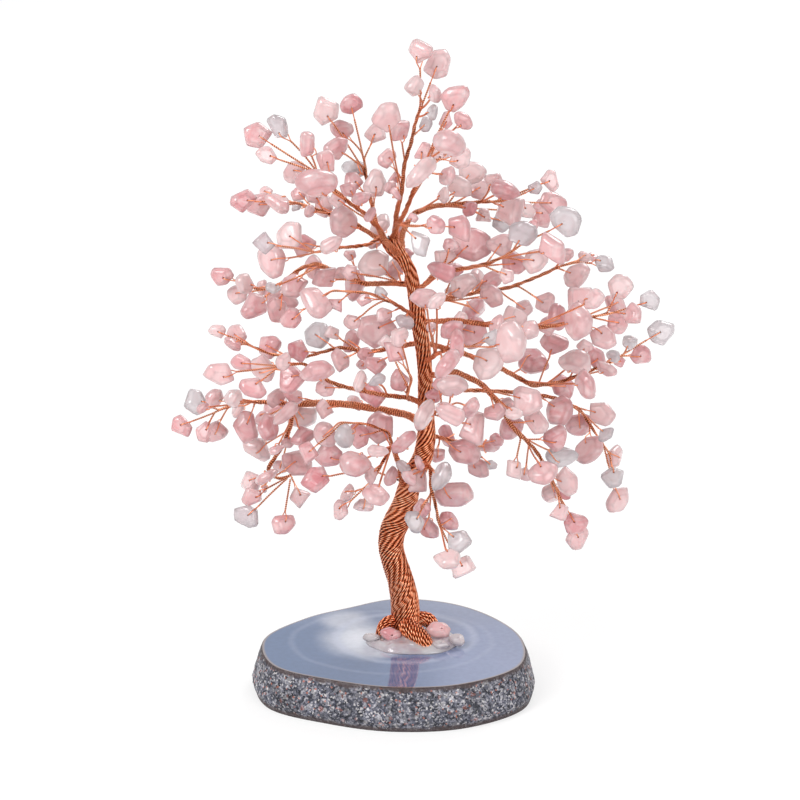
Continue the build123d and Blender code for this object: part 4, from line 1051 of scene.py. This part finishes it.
class Chip:
    """One drilled chip on its stem: outline, hole and the loop's corners."""

    def __init__(self, entry, depth, limb, draw):
        self.clear = len(entry) > 4
        self.length = max(least_chip_length, entry[2] * pixel_size * chip_swell_share)
        self.width = self.length * draw.uniform(*chip_width_shares)
        self.thickness = self.width * draw.uniform(*chip_thickness_shares)
        self.middle = place(entry[0], entry[1], depth)
        self.seat_on_limb(limb)
        tilt = radians(entry[3])
        lengthways = moved(moved((0.0, 0.0, 0.0), picture_across, cos(tilt)), picture_up, sin(tilt))
        turn, way = radians(draw.uniform(0.0, chip_turn)), draw.uniform(0.0, 2 * pi)
        facing = moved((0.0, 0.0, 0.0), picture_away, cos(turn))
        facing = moved(facing, picture_across, sin(turn) * cos(way))
        facing = moved(facing, picture_up, sin(turn) * sin(way))
        facing = moved(facing, self.stem_way, -dot(facing, self.stem_way))
        self.face = unit(facing)
        self.long = unit(moved(lengthways, self.face, -dot(lengthways, self.face)))
        self.side = cross(self.face, self.long)
        self.draw_outline(draw)
        self.bend_loop(draw)

    def seat_on_limb(self, limb):
        """Start the stem on its limb, leaning back towards the limb's root."""
        self.limb = limb
        along, near = limb.nearest(self.middle)
        need = self.length / 2 + loop_reach_sizes[1] + shortest_stem
        back = min(limb.last, max(limb.first, along - stem_lean_share * near))
        while size(span(limb.at(back), self.middle)) < need and back > limb.first:
            back = max(limb.first, back - wire_radius)
        self.leave = back
        self.base = limb.at(back)
        self.stem_way = unit(span(self.base, self.middle))

    def draw_outline(self, draw):
        """An uneven outline, and the two flats inside it."""
        count = draw.choice(chip_corner_counts)
        start = draw.uniform(0.0, 2 * pi)
        self.outline = []
        for k in range(count):
            angle = start + (k + draw.uniform(-1.0, 1.0) * chip_corner_turn_share) * 2 * pi / count
            reach = draw.uniform(*chip_corner_reach_shares)
            self.outline.append((self.length / 2 * reach * cos(angle), self.width / 2 * reach * sin(angle)))
        self.flats = []
        for end in range(2):
            share = draw.uniform(*chip_flat_shares)
            shift = tuple(draw.uniform(-1.0, 1.0) * chip_flat_shift_share * self.length for axis in range(2))
            self.flats.append([(shift[0] + x * share, shift[1] + y * share) for x, y in self.outline])

    def at(self, flat_place, height):
        """A place on the chip's own sheet, so high over its middle."""
        point = moved(self.middle, self.long, flat_place[0])
        return moved(moved(point, self.side, flat_place[1]), self.face, height)

    def edge_distance(self, loop, start, way):
        """How far an outline reaches from a start in one direction."""
        far = 0.0
        for (ax, ay), (bx, by) in zip(loop, loop[1:] + loop[:1]):
            for shift in (-loop_side_room, 0.0, loop_side_room):
                sx, sy = start[0] - way[1] * shift, start[1] + way[0] * shift
                det = way[0] * (ay - by) - way[1] * (ax - bx)
                if det == 0:
                    continue
                share = (way[0] * (ay - sy) - way[1] * (ax - sx)) / det
                reach = ((ax - sx) * (ay - by) - (ay - sy) * (ax - bx)) / det
                if 0 <= share <= 1:
                    far = max(far, reach)
        return far

    def bend_loop(self, draw):
        """Drill the hole, and bend the wire through it and round the chip's edge."""
        way = (-dot(self.stem_way, self.long), -dot(self.stem_way, self.side))
        reach = self.edge_distance(self.outline, (0.0, 0.0), way)
        room = min(self.edge_distance(flat, (0.0, 0.0), way) for flat in self.flats)
        inner = room - wire_radius - hole_clearance - hole_wall
        offset = max(0.0, min(reach * hole_offset_share, inner))
        self.hole = (way[0] * offset, way[1] * offset)
        outer = self.edge_distance(self.outline, self.hole, way)
        flat = max(self.edge_distance(flat, self.hole, way) for flat in self.flats)
        tip = outer + draw.uniform(*loop_reach_sizes)
        height = self.thickness / 2 + wire_radius + loop_clearance
        shoulder = (self.hole[0] + way[0] * flat, self.hole[1] + way[1] * flat)
        tip_place = (self.hole[0] + way[0] * tip, self.hole[1] + way[1] * tip)
        self.tip = self.at(tip_place, 0.0)
        self.loop = [
            self.at(tip_place, strand_offset), self.at(shoulder, height), self.at(self.hole, height),
            self.at(self.hole, -height), self.at(shoulder, -height), self.at(tip_place, -strand_offset),
        ]

    def rods(self, owner):
        """The chip, its loop and its stem as rods."""
        half = (self.length - self.width) / 2
        body = Rod(self.at((-half, 0.0), 0.0), self.at((half, 0.0), 0.0), self.width / 2, owner, "chip")
        loop = [Rod(a, b, wire_radius, owner, "wire") for a, b in zip(self.loop, self.loop[1:])]
        return [body, *loop, Rod(self.base, self.tip, pair_radius, owner, "wire")]


def turned_rods(rods, swing):
    """Copies of rods over a twig's range, or the rods alone where it stands fast."""
    if swing is None:
        return rods
    pivot, limit = swing
    copies = []
    for rod in rods:
        for share in swing_steps_shares:
            start, end = turned(rod.start, pivot, limit * share), turned(rod.end, pivot, limit * share)
            copies.append(Rod(start, end, rod.radius, rod.owner, rod.kind, share, True))
    return copies


def keeps_room(mine, rod):
    """True where two rods are clear, or may touch because they are wires of one bundle."""
    room = chip_room if mine.kind == rod.kind == "chip" else wire_room
    if mine.owner == rod.owner:
        if mine.kind == rod.kind == "wire" or mine.swung != 0 or rod.swung != 0:
            return True
    elif mine.swings or rod.swings:
        room = swing_room
    return mine.clears(rod, room)


def clear_of_all(chip, owner, swing, laid):
    """True where a chip, its loop and its stem keep their room from what is laid."""
    centre = blend(chip.base, chip.middle, 0.5)
    reach = size(span(chip.base, chip.middle)) / 2 + chip.length
    if swing:
        reach += size(span(swing[0], chip.middle)) * radians(swing[1])
    near = [rod for rod in laid if size(span(centre, rod.middle)) < reach + rod.reach]
    return all(keeps_room(mine, rod) for mine in turned_rods(chip.rods(owner), swing) for rod in near)


def seat(entry, limb):
    """How near a chip shows to a limb in the picture, and the limb's depth there."""
    depth = limb.points[-1][1]
    for attempt in range(2):
        along, near = limb.nearest(place(entry[0], entry[1], depth))
        depth = limb.at(along)[1]
    return near, depth, limb


def lay_chips(owner, limbs, table, swing, laid, draw):
    """Hang each chip at the depth nearest its limb's where it is clear of the rest."""
    chips = []
    for entry in table:
        near, depth, limb = min((seat(entry, limb) for limb in limbs), key=lambda found: found[0])
        depth += draw.uniform(-scatter_depth, scatter_depth)
        seed = draw.random()
        for k in range(search_count):
            step = search_step * ((k + 1) // 2) * (-1 if k % 2 else 1)
            chip = Chip(entry, depth + step, limb, Random(seed + k))
            if clear_of_all(chip, owner, swing, laid):
                break
        else:
            continue
        chips.append(chip)
        limb.leaving.append(chip.leave)
        laid.extend(turned_rods(chip.rods(owner), swing))
    return chips


def limb_points(line):
    """The places of a limb's table line."""
    return [place(across, down, depth * depth_step) for across, down, depth in line]


def limb_rods(limbs, owner, swing):
    """The room that a branch's limbs take up."""
    rods = []
    for limb in limbs:
        for k in range(len(limb.points) - 1):
            rods.append(Rod(limb.points[k], limb.points[k + 1], limb_room_radius, owner, "wire"))
    return turned_rods(rods, swing)


draw = Random(random_seed)
laid = []
for k in range(len(trunk_axis) - 1):
    radius = max(trunk_radii[k], trunk_radii[k + 1])
    laid.append(Rod(trunk_axis[k], trunk_axis[k + 1], radius, "trunk", "wire"))

hinged = {entry[2]: name for name, entry in twigs.items()}
limbs_of, chips_of, swing_of = {}, {}, {}
for name, (lines, table) in branches.items():
    limbs_of[name] = []
    for k, line in enumerate(lines):
        points = limb_points(line)
        on_trunk = line[0][2] == 0
        if on_trunk:
            points[0] = trunk_seat(points[1], points[0])
        else:
            main_limb = limbs_of[name][0]
            points[0] = main_limb.at(main_limb.nearest(points[0])[0])
        free_end = ball_neck if (name, k) in hinged else 0.0
        limbs_of[name].append(Limb(points, foot_clear if on_trunk else 0.0, free_end))
    swing_of[name] = None
    laid.extend(limb_rods(limbs_of[name], name, None))
for name, (lines, table, carrier, limit) in twigs.items():
    limbs_of[name] = []
    for k, line in enumerate(lines):
        points = limb_points(line)
        limbs_of[name].append(Limb(points, ball_neck if k == 0 else 0.0, 0.0))
    swing_of[name] = (limbs_of[name][0].points[0], limit)
    laid.extend(limb_rods(limbs_of[name], name, swing_of[name]))
for name, entry in list(twigs.items()) + list(branches.items()):
    chips_of[name] = lay_chips(name, limbs_of[name], entry[1], swing_of[name], laid, draw)

for (name, k), twig in hinged.items():
    limb = limbs_of[name][k]
    limb.leaving += [limb.lengths[-1]] * len(chips_of[twig])
for name in branches:
    stem_limb = limbs_of[name][0]
    for fork in limbs_of[name][1:]:
        along, near = stem_limb.nearest(fork.points[0])
        if near < fork_room:
            stem_limb.leaving += [along] * len(fork.leaving)


# The chips of one branch, as stone. Each is tumbled until its corners are
# round, and drilled through its flats. Points run in rows round the hole.
chip_rows, chip_columns = 23, 30
tumbling = 15.0
tumbled_swell_share = 1.03
taper_share, wedge_share, skew_share = 0.34, 0.3, 0.22
bore_radius = 0.3
bore_waist_share = 0.9
bore_ring_shares = (0.55, -0.55)
lump_size, lump_share = 0.55, 0.035
tint_mean, tint_spread = 0.42, 0.26
veil_scale, veil_twist, veil_range = 260.0, 0.8, (0.42, 0.68)
veil_bump_strength, veil_bump_m = 0.25, 0.0004
# How near a corner the chips' painted edge shade begins and is full.
corner_range = (0.1, 0.5)
scuff_scale, quartz_roughness = 900.0, (0.05, 0.25)


def chip_planes(chip):
    """The flats of a chip before it is tumbled: directions, and distances from the hole's middle."""
    half, girdle = chip.thickness / 2, chip.thickness * chip_girdle_share
    rings = [(chip.flats[0], half), (chip.outline, girdle), (chip.outline, -girdle), (chip.flats[1], -half)]
    directions, distances = [(0.0, 0.0, 1.0), (0.0, 0.0, -1.0)], [half, half]
    for (upper, top), (lower, bottom) in zip(rings, rings[1:]):
        for k in range(len(upper)):
            a, b, c = (*upper[k - 1], top), (*upper[k], top), (*lower[k], bottom)
            normal = unit(cross(span(b, a), span(b, c)))
            reach = dot(normal, span((*chip.hole, 0.0), b))
            if reach < 0:
                normal, reach = (-normal[0], -normal[1], -normal[2]), -reach
            directions.append(normal)
            distances.append(reach)
    return np.array(directions), np.array(distances)


def tumbled(chip):
    """Rows of points over a chip and back through its hole, and how near each is to a corner, where the
    stone's colour is darkened as painted shade.
    """
    directions, distances = chip_planes(chip)
    mouth = np.arctan2(chip.thickness / 2, bore_radius)
    rise = np.linspace(-mouth, mouth, chip_rows)[:, None]
    angle = np.arange(chip_columns) * 2 * pi / chip_columns
    rays = np.empty((chip_rows, chip_columns, 3))
    rays[..., 0], rays[..., 1] = np.cos(rise) * np.cos(angle), np.cos(rise) * np.sin(angle)
    rays[..., 2] = np.sin(rise)
    closeness = np.maximum(rays @ directions.T / distances, 0.0) ** tumbling
    reach = tumbled_swell_share * closeness.sum(axis=-1) ** (-1 / tumbling)
    corner = 1 - closeness.max(axis=-1) / closeness.sum(axis=-1)
    seed = Vector(chip.middle)
    for row in range(1, chip_rows - 1):
        for column in range(chip_columns):
            ray = Vector(rays[row, column]) * reach[row, column]
            reach[row, column] *= 1 - lump_share * abs(noise.noise(ray * lump_size + seed))
    body = rays * reach[..., None]
    bore = np.empty((len(bore_ring_shares), chip_columns, 3))
    for ring, share in zip(bore, bore_ring_shares):
        ring[:, 0] = bore_radius * bore_waist_share * np.cos(angle)
        ring[:, 1] = bore_radius * bore_waist_share * np.sin(angle)
        ring[:, 2] = share * chip.thickness / 2
    local = np.concatenate([body, bore, body[:1]])
    draw = Random(chip.middle[0])
    taper, wedge, skew = (draw.uniform(-share, share) for share in (taper_share, wedge_share, skew_share))
    along = local[..., 0] * 2 / chip.length
    local[..., 1] *= 1 + taper * along
    local[..., 2] *= 1 + wedge * along
    local[..., 0] += skew * local[..., 1]
    local[..., 0] += chip.hole[0]
    local[..., 1] += chip.hole[1]
    axes = np.array([chip.long, chip.side, chip.face])
    painted_edge_shade = np.concatenate([corner, np.zeros((len(bore), chip_columns)), corner[:1]])
    return local @ axes + np.array(chip.middle), painted_edge_shade


def quartz(name, tints, milk_colour, milk_share, corner_shade, plain):
    """Quartz: a colour by the stone's own tint, with milky clouds and fine veils inside it, and painted
    shade towards its edges and corners.
    """
    made, tree, shader, spot = finished(name, plain)
    veils = mottle(tree, spot, veil_scale, 5.0, veil_twist)
    clouds = spread(tree, veils, veil_range, (0.0, milk_share))
    ground = laid_over(tree, ramp(tree, carried(tree, "tint"), tints), milk_colour, clouds)
    # Painted shade: the stone's colour is darkened towards its edges and corners.
    painted_edge_shade = spread(tree, carried(tree, "corner"), corner_range, (1.0, corner_shade))
    tree.links.new(dimmed(tree, ground, painted_edge_shade), shader.inputs["Base Color"])
    scuffs = mottle(tree, spot, scuff_scale, 3.0)
    tree.links.new(spread(tree, scuffs, to=quartz_roughness), shader.inputs["Roughness"])
    bumped(tree, veils, veil_bump_strength, veil_bump_m, shader)
    return made


rose_tints = ((0.0, paint(240, 212, 212)), (0.5, paint(228, 176, 178)), (1.0, paint(218, 146, 151)))
rose_quartz = quartz(
    "rose_quartz", rose_tints, paint(240, 222, 222), 0.55, 0.8,
    {
        "IOR": 1.54, "Subsurface Weight": 0.3, "Subsurface Scale": 0.0012,
        "Subsurface Radius": (1.0, 0.55, 0.55), "Transmission Weight": 0.25,
        "Coat Weight": 0.35, "Coat Roughness": 0.05,
    },
)
clear_tints = ((0.0, paint(230, 222, 224)), (0.5, paint(218, 207, 210)), (1.0, paint(212, 194, 198)))
clear_quartz = quartz(
    "clear_quartz", clear_tints, paint(228, 224, 226), 0.5, 0.85,
    {"IOR": 1.5, "Transmission Weight": 0.5, "Coat Weight": 0.35, "Coat Roughness": 0.04},
)


def stones(name, chips, body, nodes, draw):
    """The chips of a branch as two pieces at most: the rose ones and the clear ones."""
    for clear, slot, material in ((False, "rose_quartz", rose_quartz), (True, "clear_quartz", clear_quartz)):
        points, quads, tints, corners, count = [], [], [], [], 0
        for chip in chips:
            if chip.clear != clear:
                continue
            rows, painted_edge_shade = tumbled(chip)
            index = count + np.arange(painted_edge_shade.size).reshape(painted_edge_shade.shape)
            points.append(rows.reshape(-1, 3))
            quads.append(ring_quads(index))
            corners.append(painted_edge_shade.ravel())
            tints.append(np.full(index.size, min(1.0, max(0.0, draw.gauss(tint_mean, tint_spread)))))
            count += index.size
        if points:
            points, quads = np.concatenate(points), np.concatenate(quads)
            made = piece(name + "_" + slot, points, quads, body, [material], nodes)
            attribute(made, "tint", np.concatenate(tints))
            attribute(made, "corner", np.concatenate(corners))
            nodes = []


# The wire of one branch: its pairs laid round each other along each limb, a
# stem to each chip, and the loop through the chip's hole.
limb_corner = 1.6
limb_easing = 4
limb_packing_share = 0.54
limb_lay = 9.0
limb_rank_turn = 2.4
stem_overlap = 4
stem_easing = 5
stem_points = 9
stem_bow = 0.5
stem_full_bow_length = 8
loop_grip = 2.5 * wire_radius
loop_corner = 0.75
loop_step = 0.32
# The loops carry a fixed painted light, fairly bright.
loop_sides = 6
loop_painted_light = 0.7


def stem_line(chip, draw):
    """The pair from its limb to its loop, bowed a little."""
    length = size(span(chip.base, chip.tip))
    sideways = unit(cross(chip.stem_way, [draw.uniform(-1, 1) for axis in range(3)]))
    bow = draw.uniform(-stem_bow, stem_bow) * min(1.0, length / stem_full_bow_length)
    line = []
    for k in range(stem_points):
        share = (k + 1) / stem_points
        line.append(moved(moved(chip.base, chip.stem_way, length * share), sideways, bow * sin(pi * share)))
    return np.array(line)


def limb_wire(skein, limb, entries, draw):
    """All the pairs of one limb: those that leave last lie innermost."""
    core, along = spaced(rounded(limb.points, limb_corner), step)
    core = eased(core, limb_easing)
    way, across, other = squared(core)
    entries = sorted(entries, key=lambda entry: -entry[0])
    for rank, (leave, chip) in enumerate(entries):
        last = int(np.argmin(np.linalg.norm(core - np.array(limb.at(leave)), axis=1)))
        reach = limb_packing_share * pair_radius * sqrt(rank)
        out = turned_round(across, other, rank * limb_rank_turn + along * 2 * pi / limb_lay)
        line = (core + reach * out)[:last + 1]
        keep = len(line)
        if chip:
            keep = max(0, keep - stem_overlap)
            line = np.concatenate([line[:keep], stem_line(chip, draw)])
        if len(line) < 3:
            continue
        inside = np.concatenate([core[:keep], line[keep:]])
        line, distance, inside = spaced(line, step, inside)
        phase = draw.uniform(0, 2 * pi)
        skein.add_pair(eased(line, stem_easing), distance, phase, core=inside if rank > 1 else None)


def loops(skein, chips):
    """The loop that each pair throws through its chip."""
    for chip in chips:
        first, last = (moved(chip.loop[k], chip.stem_way, -loop_grip) for k in (0, -1))
        line, distance = spaced(rounded([first] + chip.loop + [last], loop_corner), loop_step)
        skein.add_wire(line, wire_radius, loop_sides, loop_painted_light)


draw = Random(random_seed)
for name in limbs_of:
    chips = chips_of[name]
    moves = name in twigs
    body = name if moves else "tree"
    bundle = Skein()
    for k, limb in enumerate(limbs_of[name]):
        own = [(chip.leave, chip) for chip in chips if chip.limb is limb]
        through = list(limb.leaving)
        for leave, chip in own:
            through.remove(leave)
        entries = own + [(leave, None) for leave in through]
        if moves and k == 0:
            others = sum(len(other.leaving) for other in limbs_of[name][1:])
            entries += [(limb.lengths[-1], None)] * others
        limb_wire(bundle, limb, entries, draw)
    loops(bundle, chips)
    bundle.become(name + "_copper", body, [name + "_wire"])
    stones(name, chips, body, [name + "_stones"], draw)


# Resin. A pool of clear glossy glue round the foot holds the tree and a few
# loose chips on the slice. A loose chip has x, y, its height above the slice,
# length, tilt across and turn up. The two rose chips stand on their sides.
resin_middle = (5.2, -2.4)
resin_radius = 12.6
resin_outline_shares = (1.08, 0.98, 0.78, 0.92, 1.1, 0.9, 0.76, 0.94)
resin_height = 2.4
root_rose_table = ((-1.0, -3.4, 2.8, 5.5, 20, 48), (12.7, -1.8, 3.5, 6.2, 30, 40))
root_clear_table = (
    (18.3, -5.6, 2.1, 4.8, -20, 10), (-6.9, -3.4, 1.9, 4.7, 15, -10), (13.2, -9.0, 1.9, 4.9, 5, 10),
)
pool_rows, pool_columns = 14, 120
pool_bottom_share = 0.03
pool_sink = 0.02
pool_top_share = 0.02
pool_fullness = 0.7
pool_waves = 1.1
pool_wave_size = 0.3


def foot_chip(x, y, height, length, tilt, turn, draw):
    """A chip without wire that lies in the resin."""
    entry = (stand_pixel[0], stand_pixel[1], length / pixel_size, tilt)
    side_limb = Limb([(x - length, y, agate_thickness), (x - length, y, agate_thickness + length)], 0.0, 0.0)
    chip = Chip(entry, 0.0, side_limb, draw)
    chip.middle = (x, y, agate_thickness + height)
    chip.face = (0.0, -sin(radians(turn)), cos(radians(turn)))
    lengthways = (cos(radians(tilt)), sin(radians(tilt)), 0.0)
    chip.long = unit(moved(lengthways, chip.face, -dot(lengthways, chip.face)))
    chip.side = cross(chip.face, chip.long)
    return chip


foot_draw = Random(random_seed)
rose_at_foot = [foot_chip(*entry, foot_draw) for entry in root_rose_table]
clear_at_foot = [foot_chip(*entry, foot_draw) for entry in root_clear_table]
for chip in clear_at_foot:
    chip.clear = True
stones("root_stones", rose_at_foot, "tree", ["root_stones"], foot_draw)
stones("root_crystals", clear_at_foot, "tree", ["root_crystals"], foot_draw)

glue, tree, shader, spot = finished(
    "clear_resin",
    {"Roughness": 0.04, "IOR": 1.5, "Transmission Weight": 0.55, "Coat Weight": 0.5, "Coat Roughness": 0.02},
)
resin_tints = ((0.4, paint(222, 208, 214)), (0.6, paint(244, 240, 242)))
haze_scale = 160.0
milky = ramp(tree, mottle(tree, spot, haze_scale, 3.0), resin_tints)
tree.links.new(milky, shader.inputs["Base Color"])


def pool_ring(share, height):
    """The pool's outline at a share of its width."""
    return smooth_ring(resin_middle, resin_radius * share, resin_outline_shares, height, 0.0, pool_columns)


rows = [pool_ring(pool_bottom_share, agate_thickness - pool_sink)]
for share in np.linspace(0.0, 1.0, pool_rows):
    angle = share * pi / 2
    reach = max(pool_top_share, cos(angle)) ** pool_fullness
    row = pool_ring(reach, agate_thickness + resin_height * sin(angle))
    for point in row:
        point[2] += pool_waves * sin(angle) * noise.noise(Vector(point) * pool_wave_size)
    rows.append(row)
index = np.arange(len(rows) * pool_columns).reshape(len(rows), pool_columns)
piece("resin_pool_clear", np.concatenate(rows), ring_quads(index), "tree", [glue], ["resin_pool"])
